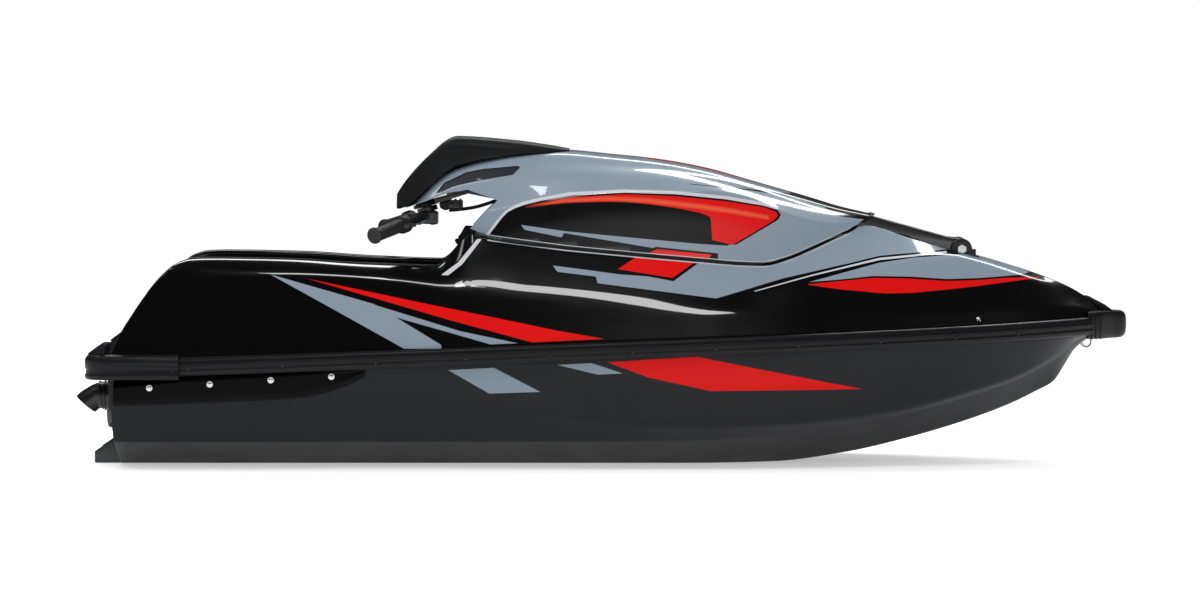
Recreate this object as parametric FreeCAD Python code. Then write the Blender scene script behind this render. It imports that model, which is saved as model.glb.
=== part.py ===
import FreeCAD, Part
import math
import os

# Stand-up personal watercraft. +X is the bow, +Y is port, +Z is up, and the keel rests on z = 0.
# Lengths are in millimetres.

V = FreeCAD.Vector
BOW = V(1, 0, 0)
PORT = V(0, 1, 0)
UP = V(0, 0, 1)
CENTRE = V(0, 0, 0)

# Whole craft
BOW_TIP_X = 1346.0
EXHAUST_TIP_X = -1346.0
STERN_BUMPER_X = -1311.0
BEAM_OVER_RAILS = 765.0

# The line where deck and hull are bonded, which rises towards the bow
BOND_Z_MIDSHIPS = 303.5
BOND_RISE = 0.0388
BOND_BAND = 24.0

# Spacing of the sections that the long forms are drawn through
FORM_SPACING = 75.0
BOW_SPACING = 26.0
BOW_FINE_X = 980.0
BULKHEAD_STATIONS = [-430.0, -385.0, -346.0, -336.0]
COVER_SPACING = 55.0

# Rubber rail
RAIL_DEPTH = 20.0
RAIL_HEIGHT = 45.0
RAIL_SEAT = 0.3
RAIL_AFT_X = -1070.0
RAIL_FORE_X = 1238.0
HULL_HALF_BEAM = BEAM_OVER_RAILS / 2 - RAIL_DEPTH

# Small fittings, placed from the hull's side so that they follow the beam
SPONSON_LINES = [
    (-1236, 163, 27.5), (-900, 177, 17), (-767, 185, 15), (-660, 212, 10.5), (-604, 238, 9),
]
DRAIN_PORT_Y = HULL_HALF_BEAM * 0.703
DRAIN_STARBOARD_Y = HULL_HALF_BEAM * -0.731
COOLING_X = 941.0
COOLING_LENGTH = 54.0
COOLING_OUT = 12.0

# Hull bottom
KEEL_PAD_HALF = 110.0
TRANSOM_TOP = (-1253.0, 262.0)
TRANSOM_FOOT = (-1243.0, 0.0)
BOW_END_X = 1290.0

# Rider tray
TRAY_HALF = 205.0
TRAY_FLOOR_Z = 315.0
TRAY_RISE = 0.012
BULKHEAD_FOOT_X = -405.0
BULKHEAD_TOP_X = -338.0
BULKHEAD_TOP_Z = 594.0
MAT_THICK = 7.0
WALL_PAD_THICK = 9.0
MAT_MARGIN = 6.0

# Radial room around pins and shafts in their bores
RUNNING_FIT = 0.05

# Handle pole
PIVOT_X = 915.0
PIVOT_Z = 548.0
ARM_HALF = 60.0
ARM_DEPTH = 52.0
CHANNEL_HALF = 80.0
CHANNEL_CLEAR = 10.0
PIVOT_HUB_R = 27.0
PIVOT_PIN_R = 9.0
CHEEK_THICK = 9.0
CHEEK_CLEAR = 1.0
SEAM_GAP = 9.0
COVER_WALL = 6.0
COVER_FRONT_X = 643.0
COVER_FRONT_Z = 610.0
COVER_FRONT_RAKE = 1.41
RIM_THICK = 12.0

# Steering
STEER_X = -455.0
STEER_Z = 632.0
STEER_LEAN = 15.0
STEM_R = 12.5
STEM_LENGTH = 38.0
BAR_R = 11.0
GRIP_R = 17.5
GRIP_FLANGE_R = 21.0
BAR_HALF_SPAN = 307.0
BAR_SWEEP = 125.0
BAR_DROP = 40.0
GRIP_LENGTH = 125.0

# Jet pump
PUMP_Z = 132.0
PUMP_BORE_R = 74.0
PUMP_WALL = 10.0
PUMP_FRONT_X = -950.0
PUMP_REAR_X = -1150.0
PUMP_BAY_HALF = 100.0
PUMP_BAY_TOP = 236.0
IMPELLER_R = 69.0
IMPELLER_HUB_R = 28.0
IMPELLER_X = -1010.0
IMPELLER_LENGTH = 62.0
BLADE_CHORD = 74.0
BLADE_THICK = 5.0
BLADE_PITCH = 48.0
SHAFT_R = 13.0
SHAFT_CLEAR = 1.5
NOZZLE_PIVOT_X = -1229.0
NOZZLE_BORE_R = 66.0
NOZZLE_WALL = 6.0
NOZZLE_LENGTH = 70.0
NOZZLE_MOUTH_R = 40.0
NOZZLE_PIN_R = 6.0
EAR_CLEAR = 3.0
EAR_THICK = 9.0
OUTLET_R = 44.0
OUTLET_WALL = 5.0
OUTLET_REAR_X = -1238.0
PLATE_THICK = 12.0
PLATE_TAIL_X = -1311.0

# Engine bay
BAY_AFT_X = -245.0
BAY_FORE_X = 385.0
BAY_HALF = 165.0
BAY_FLOOR_Z = 78.0
ENGINE_LENGTH = 500.0
ENGINE_WIDTH = 270.0
ENGINE_HEIGHT = 330.0
ENGINE_X = 20.0
HOOD_LAP = 20.0
HOOD_SIDE_LAP = 10.0
HOOD_CROWN = 42.0

# Exhaust outlet
EXHAUST_R = 32.0
EXHAUST_WALL = 4.0
EXHAUST_Z = 182.0
EXHAUST_Y = HULL_HALF_BEAM * -0.5655
EXHAUST_BEND = 60.0
EXHAUST_TURN = 51.5


def bond_z(x):
    """Height of the bond line at a station."""
    return BOND_Z_MIDSHIPS + BOND_RISE * x


def fair(rows, x, column=1):
    """Value of a column at x from a table of stations, on a fair curve that never overshoots."""
    table = [(row[0], row[column]) for row in rows]
    if x <= table[0][0]:
        return table[0][1]
    if x >= table[-1][0]:
        return table[-1][1]
    steps = [(b[0] - a[0], b[1] - a[1]) for a, b in zip(table, table[1:])]
    slopes = [rise / run for run, rise in steps]
    tangents = [slopes[0]]
    for (run0, _), (run1, _), s0, s1 in zip(steps, steps[1:], slopes, slopes[1:]):
        if s0 * s1 <= 0:
            tangents.append(0.0)
        else:
            w0 = 2 * run1 + run0
            w1 = run1 + 2 * run0
            tangents.append((w0 + w1) / (w0 / s0 + w1 / s1))
    tangents.append(slopes[-1])
    index = max(i for i, row in enumerate(table[:-1]) if row[0] <= x)
    run = steps[index][0]
    t = (x - table[index][0]) / run
    v0 = table[index][1]
    v1 = table[index + 1][1]
    m0 = tangents[index] * run
    m1 = tangents[index + 1] * run
    return (
        v0 * (2 * t ** 3 - 3 * t ** 2 + 1)
        + m0 * (t ** 3 - 2 * t ** 2 + t)
        + v1 * (3 * t ** 2 - 2 * t ** 3)
        + m1 * (t ** 3 - t ** 2)
    )


def stations(first, last, spacing):
    """Evenly spaced stations from first to last."""
    count = max(2, round((last - first) / spacing))
    return [first + (last - first) * index / count for index in range(count + 1)]


# Half-beam at the bond line, as a share of the widest
BOND_PLAN = [
    (-1265, 0.945),
    (-900, 0.985),
    (-300, 1.0),
    (250, 1.0),
    (500, 0.965),
    (700, 0.890),
    (850, 0.795),
    (980, 0.672),
    (1090, 0.525),
    (1180, 0.372),
    (1245, 0.232),
    (1290, 0.110),
]

# Station, keel height, chine as a share of the half-beam and its height, knuckle likewise
HULL_LINES = [
    (-1265, 0, 0.782, 68, 0.963, 200),
    (-900, 0, 0.780, 69, 0.966, 198),
    (-500, 0, 0.780, 70, 0.969, 192),
    (-150, 0, 0.778, 70, 0.963, 143),
    (200, 0, 0.772, 71, 0.943, 114),
    (430, 4, 0.757, 86, 0.920, 118),
    (620, 28, 0.731, 108, 0.868, 132),
    (780, 64, 0.697, 140, 0.808, 154),
    (920, 104, 0.662, 176, 0.758, 188),
    (1040, 147, 0.620, 212, 0.716, 222),
    (1110, 180, 0.595, 242, 0.703, 252),
    (1155, 204, 0.569, 265, 0.683, 277),
    (1190, 256, 0.545, 289, 0.668, 300),
    (1210, 287, 0.530, 302, 0.660, 312),
    (1250, 316, 0.510, 320, 0.640, 325),
    (1290, 324, 0.500, 327, 0.640, 329),
]

# Seam between the pole cover and the deck: station, half-width, height
SEAM = [
    (-345, 208, 598),
    (-300, 211, 583),
    (-100, 215, 557),
    (100, 215, 538),
    (258, 213, 524),
    (341, 211, 517),
    (405, 206, 515),
    (463, 195, 529),
    (537, 170, 559),
    (589, 142, 582),
    (628, 112, 598),
    (650, 88, 612),
]

# Deck side: station, crease as a share of the half-beam and its height, upper crease as a
# share of the way out from the shoulder to the crease and its height, shoulder height
DECK_LINES = [
    (-1265, 0.928, 420, 0.55, 470, 500),
    (-1000, 0.880, 483, 0.60, 514, 534),
    (-800, 0.855, 494, 0.62, 513, 531),
    (-600, 0.839, 486, 0.63, 504, 519),
    (-430, 0.829, 468, 0.61, 494, 514),
    (-340, 0.828, 459, 0.58, 515, 590),
    (-200, 0.836, 446, 0.56, 500, 566),
    (0, 0.850, 425, 0.55, 480, 543),
    (200, 0.877, 404, 0.53, 462, 525),
    (341, 0.889, 396, 0.56, 449, 513),
    (463, 0.894, 393, 0.50, 468, 525),
    (589, 0.880, 392, 0.51, 491, 578),
    (660, 0.870, 392, 0.56, 504, 610),
    (780, 0.853, 394, 0.48, 525, 577),
    (890, 0.843, 397, 0.36, 536, 545),
    (960, 0.829, 399, 0.34, 520, 529),
    (1050, 0.820, 401, 0.36, 490, 503),
    (1130, 0.825, 401, 0.37, 458, 477),
    (1200, 0.860, 399, 0.37, 428, 447),
    (1250, 0.920, 390, 0.37, 405, 417),
    (1290, 0.950, 378, 0.45, 388, 396),
]

# Width of the gunwale's flat top outside the tray
GUNWALE_TOP = [(-1265, 77), (-1000, 65), (-800, 59), (-600, 53), (-430, 33), (-380, 12)]

# Half-width of the nose's top, ahead of the seam
NOSE_TOP = [(650, 84), (900, 81), (960, 62), (1050, 46), (1130, 36), (1200, 28), (1290, 12)]

# Pole cover: station, side foot half-width, shelf half-width and height, shelf step,
# shoulder half-width and height, top height
COVER_LINES = [
    (-545, 90, 66, 604, 1, 58, 622, 634),
    (-500, 112, 84, 620, 1, 72, 646, 662),
    (-445, 140, 108, 634, 1, 84, 704, 722),
    (-398, 162, 128, 640, 1, 92, 738, 756),
    (-318, 190, 158, 646, 2, 100, 762, 781),
    (-230, 209, 186, 660, 5, 106, 777, 796),
    (-115, 215, 194, 682, 7, 110, 784, 803),
    (0, 217, 198, 695, 7, 112, 775, 793),
    (140, 217, 199, 700, 7, 114, 762, 778),
    (260, 215, 195, 698, 6, 112, 740, 756),
    (360, 211, 186, 684, 4, 106, 714, 728),
    (450, 200, 172, 648, 2, 98, 688, 702),
    (537, 174, 150, 622, 1, 88, 662, 677),
    (600, 138, 124, 616, 1, 82, 646, 657),
    (660, 90, 84, 618, 1, 75, 636, 643),
    (720, 86, 82, 606, 1, 71, 622, 629),
]

# Rear edge and underside of the cover's tail, from the seam round to the tip
TAIL_PROFILE = [
    (-345, 604),
    (-312, 640),
    (-275, 676),
    (-352, 702),
    (-400, 694),
    (-470, 668),
    (-533, 646),
    (-560, 640),
]

# Pad on the pole: station, half-width, top height
PAD_LINES = [
    (-536, 64, 690),
    (-522, 74, 712),
    (-500, 82, 740),
    (-452, 92, 790),
    (-400, 98, 832),
    (-385, 99, 837),
    (-250, 100, 828),
    (-150, 92, 815),
    (-92, 72, 805),
]

# Arm of the pole, along its centreline from the pivot to the tail
ARM_LINE = [
    (PIVOT_X, PIVOT_Z),
    (880, 551),
    (676, 607.5),
    (425, 664.5),
    (100, 722),
    (-250, 742),
    (-350, 730),
    (-415, 712),
]


def polygon(points):
    return Part.makePolygon(list(points) + [points[0]])


def rod(points, radius, sides=10):
    """Bent rod with mitred corners along a line of points."""
    sections = []
    for index, point in enumerate(points):
        before = points[max(index - 1, 0)]
        after = points[min(index + 1, len(points) - 1)]
        run = (after - before).normalize()
        across = PORT - run * PORT.dot(run)
        across.normalize()
        up = run.cross(across)
        ring = []
        for step in range(sides):
            turn = 2 * math.pi * step / sides
            ring.append(point + across * radius * math.cos(turn) + up * radius * math.sin(turn))
        sections.append(polygon(ring))
    return Part.makeLoft(sections, True, True)


def extruded(points, direction):
    """Solid from a closed outline of vectors, pushed along a vector."""
    return Part.Face(polygon(points)).extrude(direction)


def side_prism(outline, half_width):
    """Solid from an (x, z) outline, as wide to port as to starboard."""
    points = [V(x, -half_width, z) for x, z in outline]
    return extruded(points, V(0, 2 * half_width, 0))


def box(x0, x1, y0, y1, z0, z1):
    return Part.makeBox(x1 - x0, y1 - y0, z1 - z0, V(x0, y0, z0))


def cylinder(radius, start, end):
    axis = end - start
    return Part.makeCylinder(radius, axis.Length, start, axis)


def mirrored(shape):
    """The same piece on the other side of the craft."""
    return shape.mirror(CENTRE, PORT)


def mirrored_outline(x, half):
    """Closed section across the craft from its starboard half, given bottom to top."""
    port = [V(x, y, z) for y, z in half]
    starboard = [V(x, -y, z) for y, z in reversed(half)]
    return polygon(port + starboard)


def largest(shape):
    return max(shape.Solids, key=lambda solid: solid.Volume)


def half_beam(x):
    return HULL_HALF_BEAM * fair(BOND_PLAN, x)


def transom_x(z):
    """Station of the raked transom at a height."""
    top_x, top_z = TRANSOM_TOP
    foot_x, foot_z = TRANSOM_FOOT
    return foot_x + (top_x - foot_x) * (z - foot_z) / (top_z - foot_z)


def transom_cutter():
    """Everything aft of the raked transom."""
    top_x, top_z = TRANSOM_TOP
    foot_x, foot_z = TRANSOM_FOOT
    slope = (top_x - foot_x) / (top_z - foot_z)
    reach = 400.0
    outline = [
        (foot_x - slope * reach, foot_z - reach),
        (top_x + slope * reach, top_z + reach),
        (top_x - reach, top_z + reach),
        (top_x - reach, foot_z - reach),
    ]
    return side_prism(outline, BEAM_OVER_RAILS)


def form_stations():
    """Stations of the hull's and the deck's sections, closer together at the bow."""
    long = stations(HULL_LINES[0][0], BOW_FINE_X, FORM_SPACING)
    aft = [x for x in long if min(abs(x - other) for other in BULKHEAD_STATIONS) > 12]
    return sorted(aft + BULKHEAD_STATIONS) + stations(BOW_FINE_X, BOW_END_X, BOW_SPACING)[1:]


def hull_form():
    sections = []
    for x in form_stations():
        keel, chine, chine_z, knuckle, knuckle_z = (
            fair(HULL_LINES, x, column) for column in range(1, 6)
        )
        edge = half_beam(x)
        top = bond_z(x)
        half = [
            (min(KEEL_PAD_HALF, edge * chine * 0.4), keel),
            (edge * chine, chine_z),
            (edge * knuckle, knuckle_z),
            (edge, top - BOND_BAND),
            (edge, top),
        ]
        sections.append(mirrored_outline(x, half))
    form = Part.makeLoft(sections, True, True)
    below = box(-1400, 1400, -400, 400, -60, 0)
    return form.cut(below).cut(transom_cutter())


def duct_form():
    """Water duct from the intake opening in the keel up to the pump."""
    roof = PUMP_Z + PUMP_BORE_R
    floor = PUMP_Z - PUMP_BORE_R
    outline = [
        (PUMP_FRONT_X - 40, floor),
        (-820, floor),
        (-752, -20),
        (-415, -20),
        (-430, 20),
        (-560, 110),
        (-700, 175),
        (-820, roof),
        (PUMP_FRONT_X - 40, roof),
    ]
    return side_prism(outline, PUMP_BORE_R)


def hull_bottom():
    hull = hull_form()
    bay = box(BAY_AFT_X, BAY_FORE_X, -BAY_HALF, BAY_HALF, BAY_FLOOR_Z, 400)
    hull = hull.cut(bay)
    pump_bay = box(
        -1400, PUMP_FRONT_X, -PUMP_BAY_HALF, PUMP_BAY_HALF, -20, PUMP_BAY_TOP
    )
    hull = hull.cut(pump_bay).cut(duct_form())
    bore = cylinder(
        SHAFT_R + SHAFT_CLEAR, V(-900, 0, PUMP_Z), V(BAY_AFT_X + 5, 0, PUMP_Z)
    )
    return largest(hull.cut(bore))


def deck_form():
    sections = []
    for x in form_stations():
        crease, crease_z, upper, upper_z, top_z = (
            fair(DECK_LINES, x, column) for column in range(1, 6)
        )
        if x < SEAM[0][0]:
            top_y = TRAY_HALF + fair(GUNWALE_TOP, x)
        elif x <= SEAM[-1][0]:
            top_y = seam_y(x)
            top_z = seam_z(x) - SEAM_GAP / 2
        else:
            top_y = fair(NOSE_TOP, x)
        edge = half_beam(x)
        crease_y = edge * crease
        upper_y = top_y + (crease_y - top_y) * upper
        low = bond_z(x)
        half = [
            (edge, low),
            (edge, low + BOND_BAND),
            (crease_y, crease_z),
            (upper_y, upper_z),
            (top_y, top_z),
        ]
        sections.append(mirrored_outline(x, half))
    return Part.makeLoft(sections, True, True)


STERN_PROFILE = [
    (-1253, 240),
    (-1250, 275),
    (-1236, 310),
    (-1222, 345),
    (-1195, 390),
    (-1164, 436),
    (-1119, 492),
    (-1085, 520),
    (-1041, 540),
    (-1000, 700),
    (-1500, 700),
    (-1500, 240),
]


def tray_form():
    """Room for the rider's feet, open at the stern."""
    floor_aft = TRAY_FLOOR_Z - TRAY_RISE * 1000
    outline = [
        (-1500, floor_aft),
        (BULKHEAD_FOOT_X - 30, TRAY_FLOOR_Z),
        (BULKHEAD_FOOT_X, TRAY_FLOOR_Z + 30),
        (BULKHEAD_TOP_X, BULKHEAD_TOP_Z + 20),
        (BULKHEAD_TOP_X, 800),
        (-1500, 800),
    ]
    return side_prism(outline, TRAY_HALF)


def channel_form():
    """Channel in the nose that the pole's arm lies in."""
    drop = ARM_DEPTH / 2 + CHANNEL_CLEAR
    end_x = PIVOT_X + PIVOT_HUB_R + 18
    outline = [
        (560, 628 - drop),
        (676, 611 - drop),
        (880, 551 - drop - 6),
        (end_x, PIVOT_Z - PIVOT_HUB_R - CHANNEL_CLEAR),
        (end_x + 8, 700),
        (560, 700),
    ]
    return side_prism(outline, CHANNEL_HALF)


def deck():
    body = deck_form()
    body = body.cut(side_prism(STERN_PROFILE, BEAM_OVER_RAILS))
    body = body.cut(tray_form()).cut(channel_form())
    opening = box(BAY_AFT_X, BAY_FORE_X, -BAY_HALF, BAY_HALF, 250, 700)
    return largest(body.cut(opening))


def seam_z(x):
    return fair(SEAM, x, 2)


def seam_y(x):
    return fair(SEAM, x, 1)


def engine_hood(deck_shape):
    """Removable lid over the engine bay, under the pole cover."""
    sections = []
    aft = BAY_AFT_X - HOOD_LAP
    fore = BAY_FORE_X + HOOD_LAP
    half = BAY_HALF + HOOD_SIDE_LAP
    for share in (0.0, 0.08, 0.35, 0.7, 0.93, 1.0):
        x = aft + (fore - aft) * share
        rim = seam_z(x) - SEAM_GAP / 2
        crown = HOOD_CROWN * (0.35 if share in (0.0, 1.0) else 1.0)
        points = [
            (half, rim - 12),
            (half, rim + 10),
            (half - 22, rim + crown * 0.7),
            (half - 80, rim + crown),
        ]
        sections.append(mirrored_outline(x, points))
    lid = Part.makeLoft(sections, True, True)
    inner = box(
        BAY_AFT_X + 8, BAY_FORE_X - 8, -BAY_HALF + 8, BAY_HALF - 8, 400, 800
    )
    shell = lid.cut(inner).fuse(lid.copy().cut(inner))
    roof = lid.common(inner)
    roof_keep = roof.cut(roof.translated(V(0, 0, -12)))
    shell = shell.fuse(roof_keep)
    return largest(shell.cut(deck_shape))


def hood_latch():
    """Ribbed rubber pull at the rear of the hood."""
    strap = side_prism(
        [(-388, 561), (-372, 556), (-332, 590), (-332, 604), (-362, 606)], 34
    )
    ribs = []
    for step in range(4):
        x = -384 + step * 9
        z = 568 + step * 10
        ribs.append(cylinder(4, V(x, -34, z), V(x, 34, z)))
    return strap.multiFuse(ribs)


def bond_point(x, out, up):
    """Point off the port bond line, measured square to it in plan and upwards."""
    step = 2.0
    slope = (half_beam(x + step) - half_beam(x - step)) / (2 * step)
    length = math.hypot(slope, 1.0)
    return V(x - slope / length * out, half_beam(x) + out / length, bond_z(x) + up)


def rail():
    """Rubber rail along the port bond line."""
    sections = []
    half = RAIL_HEIGHT / 2
    between = [x for x in form_stations() if RAIL_AFT_X < x < RAIL_FORE_X]
    for x in [RAIL_AFT_X] + between + [RAIL_FORE_X]:
        outline = [
            (RAIL_SEAT, -half),
            (RAIL_DEPTH * 0.7, -half),
            (RAIL_DEPTH, -half * 0.45),
            (RAIL_DEPTH, half * 0.35),
            (RAIL_DEPTH * 0.6, half),
            (RAIL_SEAT, half),
        ]
        sections.append(polygon([bond_point(x, out, up) for out, up in outline]))
    beyond = box(RAIL_FORE_X - RAIL_SEAT, BOW_TIP_X, -400, 400, 0, 600)
    return largest(Part.makeLoft(sections, True, True).cut(beyond))


def stern_bumper():
    """Rubber corner at the port end of the transom."""
    outer = BEAM_OVER_RAILS / 2
    low = bond_z(-1200) - 26
    high = bond_z(-1200) + 37
    corner = 52.0
    inner_end = outer - 150.5
    face_x = TRANSOM_TOP[0] - RAIL_SEAT
    side = [
        V(x, half_beam(x) + RAIL_SEAT, low)
        for x in stations(face_x, RAIL_AFT_X - 1, 60)
    ]
    plan = [
        V(RAIL_AFT_X - 1, outer, low),
        V(STERN_BUMPER_X + corner, outer, low),
        V(STERN_BUMPER_X + corner * 0.3, outer - corner * 0.3, low),
        V(STERN_BUMPER_X, outer - corner, low),
        V(STERN_BUMPER_X, inner_end, low),
        V(face_x, inner_end, low),
    ]
    body = extruded(plan + side, V(0, 0, high - low))
    top_inner = half_beam(face_x) - 14
    rim = [
        V(STERN_BUMPER_X + corner, outer - 3, high),
        V(STERN_BUMPER_X + 4, outer - corner, high),
        V(STERN_BUMPER_X + 4, inner_end + 4, high),
        V(face_x, inner_end + 4, high),
        V(face_x, top_inner + 6, high),
    ]
    crest = [
        V(STERN_BUMPER_X + corner + 4, outer - 26, high + 27),
        V(STERN_BUMPER_X + 40, outer - corner - 10, high + 27),
        V(STERN_BUMPER_X + 40, inner_end + 14, high + 27),
        V(face_x, inner_end + 14, high + 27),
        V(face_x, top_inner - 2, high + 27),
    ]
    lip = Part.makeLoft([polygon(rim), polygon(crest)], True, True)
    return largest(body.fuse(lip))


def bow_bumper(hull_shape, deck_shape):
    """Rubber cap over the bow."""
    mid = bond_z(BOW_END_X)
    sections = []
    for rise, inset in ((-36, 9), (-22, 1), (0, 0), (20, 1), (34, 9)):
        z = mid + rise
        tip = BOW_TIP_X - inset
        aft = RAIL_FORE_X
        wide = half_beam(aft) + RAIL_SEAT + RAIL_DEPTH - inset
        plan = [
            (aft, wide),
            (aft + 42, wide * 0.70),
            (tip - 26, 33),
            (tip - 12, 24),
            (tip - 3, 12),
            (tip, 0),
        ]
        near = [V(x, -y, z) for x, y in plan]
        far = [V(x, y, z) for x, y in reversed(plan[:-1])]
        sections.append(polygon(near + far))
    cap = Part.makeLoft(sections, True, True)
    return largest(cap.cut(hull_shape).cut(deck_shape))


def bow_eye(hull_shape):
    """Wire loop under the bow for a tow line."""
    wire = 3.5
    loop = 13.0
    x = 1243.0
    z = 304.5
    top = bond_z(x) - BOND_BAND
    points = [V(x - loop, 0, top)]
    for step in range(7):
        turn = math.pi * step / 6
        points.append(V(x - loop * math.cos(turn), 0, z - loop * math.sin(turn)))
    points.append(V(x + loop, 0, top))
    return rod(points, wire).cut(hull_shape)


def sponson(hull_shape):
    """Black fin bolted to the port side of the hull near the stern."""
    sections = []
    for x, low, beyond in SPONSON_LINES:
        edge = half_beam(x)
        out = edge + beyond
        top = bond_z(x) - RAIL_HEIGHT / 2 - 1
        outline = [
            V(x, edge - 60, top),
            V(x, edge + 9, top),
            V(x, out - 2, (top + low) / 2 + 6),
            V(x, out - 8, low + 4),
            V(x, out - 16, low),
            V(x, edge - 60, low + 2),
        ]
        sections.append(polygon(outline))
    return largest(Part.makeLoft(sections, True, True).cut(hull_shape))


def tray_mat():
    """Rubber mat on the floor of the tray."""
    half = TRAY_HALF - MAT_MARGIN
    z = floor_height
    fore = BULKHEAD_FOOT_X - 34
    outline = [
        (-1222, z(-1222)),
        (fore, z(fore)),
        (fore, z(fore) + MAT_THICK),
        (-1222, z(-1222) + MAT_THICK),
    ]
    return side_prism(outline, half)


def floor_height(x):
    """Height of the tray floor at a station."""
    aft = TRAY_FLOOR_Z - TRAY_RISE * 1000
    fore_x = BULKHEAD_FOOT_X - 30
    return aft + (TRAY_FLOOR_Z - aft) * (x + 1500) / (fore_x + 1500)


def wall_pad():
    """Foam on the port wall of the tray."""
    outline = [
        (-1150, floor_height(-1150) + MAT_THICK + 1),
        (-425, floor_height(-425) + MAT_THICK + 14),
        (-400, 400),
        (-400, 494),
        (-600, 502),
        (-1000, 512),
        (-1065, 500),
        (-1150, 400),
    ]
    points = [V(x, TRAY_HALF - WALL_PAD_THICK, z) for x, z in outline]
    return extruded(points, V(0, WALL_PAD_THICK, 0))


def engine_block():
    x0 = ENGINE_X - ENGINE_LENGTH / 2
    half = ENGINE_WIDTH / 2
    block = box(
        x0, x0 + ENGINE_LENGTH, -half, half, BAY_FLOOR_Z, BAY_FLOOR_Z + ENGINE_HEIGHT
    )
    bore = cylinder(SHAFT_R + RUNNING_FIT, V(x0 - 1, 0, PUMP_Z), V(x0 + 41, 0, PUMP_Z))
    return block.cut(bore)


def pump_housing():
    """Pump body with its stator vanes and bearing hub."""
    outer = cylinder(
        PUMP_BORE_R + PUMP_WALL, V(PUMP_FRONT_X, 0, PUMP_Z), V(PUMP_REAR_X, 0, PUMP_Z)
    )
    bore = cylinder(
        PUMP_BORE_R, V(PUMP_FRONT_X + 1, 0, PUMP_Z), V(PUMP_REAR_X - 1, 0, PUMP_Z)
    )
    tube = outer.cut(bore)
    flange = box(
        PUMP_FRONT_X - 12,
        PUMP_FRONT_X,
        -PUMP_BAY_HALF,
        PUMP_BAY_HALF,
        PUMP_Z - PUMP_BAY_HALF,
        PUMP_BAY_TOP,
    ).cut(bore)
    stator_front = IMPELLER_X - IMPELLER_LENGTH - 8
    hub_rear = PUMP_REAR_X + 4
    hub = cylinder(
        IMPELLER_HUB_R, V(stator_front, 0, PUMP_Z), V(hub_rear, 0, PUMP_Z)
    )
    nose = Part.makeCone(IMPELLER_HUB_R, 8, 44, V(hub_rear, 0, PUMP_Z), V(-1, 0, 0))
    bearing = cylinder(
        SHAFT_R + RUNNING_FIT,
        V(stator_front + 1, 0, PUMP_Z),
        V(stator_front - 44, 0, PUMP_Z),
    )
    vanes = []
    vane_length = stator_front - 10 - hub_rear
    for index in range(6):
        vane = Part.makeBox(vane_length, 6, PUMP_BORE_R + 3, V(hub_rear, -3, PUMP_Z))
        vane.rotate(V(0, 0, PUMP_Z), BOW, 60 * index)
        vanes.append(vane)
    stator = vanes[0].multiFuse(vanes[1:] + [hub])
    body = tube.multiFuse([flange, stator, nose])
    return body.cut(bearing)


def pump_outlet():
    """Bowl at the rear of the pump, its straight outlet and the ears of the nozzle."""
    x = PUMP_REAR_X
    taper = 46.0
    lip = OUTLET_R + OUTLET_WALL
    start = V(x, 0, PUMP_Z)
    throat = V(x - taper, 0, PUMP_Z)
    end = V(OUTLET_REAR_X, 0, PUMP_Z)
    outer = Part.makeCone(PUMP_BORE_R + PUMP_WALL, lip, taper, start, V(-1, 0, 0))
    outer = outer.fuse(cylinder(lip, throat, end))
    inner = Part.makeCone(PUMP_BORE_R, OUTLET_R, taper, start, V(-1, 0, 0))
    inner = inner.fuse(cylinder(OUTLET_R, throat, end))
    ears = []
    near = NOZZLE_BORE_R + NOZZLE_WALL + EAR_CLEAR
    for sign in (-1, 1):
        low, high = sorted((PUMP_Z + sign * near, PUMP_Z + sign * (near + EAR_THICK)))
        ear = box(NOZZLE_PIVOT_X - 14, x, -14, 14, low, high)
        bore = cylinder(
            NOZZLE_PIN_R + RUNNING_FIT,
            V(NOZZLE_PIVOT_X, 0, low - 1),
            V(NOZZLE_PIVOT_X, 0, high + 1),
        )
        ears.append(ear.cut(bore))
    return largest(outer.multiFuse(ears).cut(inner))


def steering_nozzle():
    """Tapered nozzle that swings on two pins to steer the jet."""
    x = NOZZLE_PIVOT_X + 14
    front = V(x, 0, PUMP_Z)
    outer = Part.makeCone(
        NOZZLE_BORE_R + NOZZLE_WALL,
        NOZZLE_MOUTH_R + NOZZLE_WALL,
        NOZZLE_LENGTH,
        front,
        V(-1, 0, 0),
    )
    pins = []
    for sign in (-1, 1):
        base = PUMP_Z + sign * (NOZZLE_BORE_R - 4)
        tip = PUMP_Z + sign * (NOZZLE_BORE_R + NOZZLE_WALL + EAR_CLEAR + EAR_THICK)
        pins.append(
            cylinder(NOZZLE_PIN_R, V(NOZZLE_PIVOT_X, 0, base), V(NOZZLE_PIVOT_X, 0, tip))
        )
    inner = Part.makeCone(
        NOZZLE_BORE_R, NOZZLE_MOUTH_R, NOZZLE_LENGTH, front, V(-1, 0, 0)
    )
    return outer.multiFuse(pins).cut(inner)


def ride_plate(hull_shape):
    """Plate that closes the pump bay from below, with a tail aft of the transom."""
    half = PUMP_BAY_HALF
    plate = box(PLATE_TAIL_X, PUMP_FRONT_X, -half, half, 0, PLATE_THICK)
    fin_outline = [
        V(PLATE_TAIL_X, half - 14, 0),
        V(PLATE_TAIL_X, half - 14, 30),
        V(PLATE_TAIL_X + 48, half - 14, 62),
        V(PLATE_TAIL_X + 90, half - 14, 62),
        V(PLATE_TAIL_X + 240, half - 14, 20),
        V(PLATE_TAIL_X + 240, half - 14, 0),
    ]
    fin = extruded(fin_outline, V(0, 14, 0))
    return plate.multiFuse([fin, mirrored(fin)]).cut(hull_shape)


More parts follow.
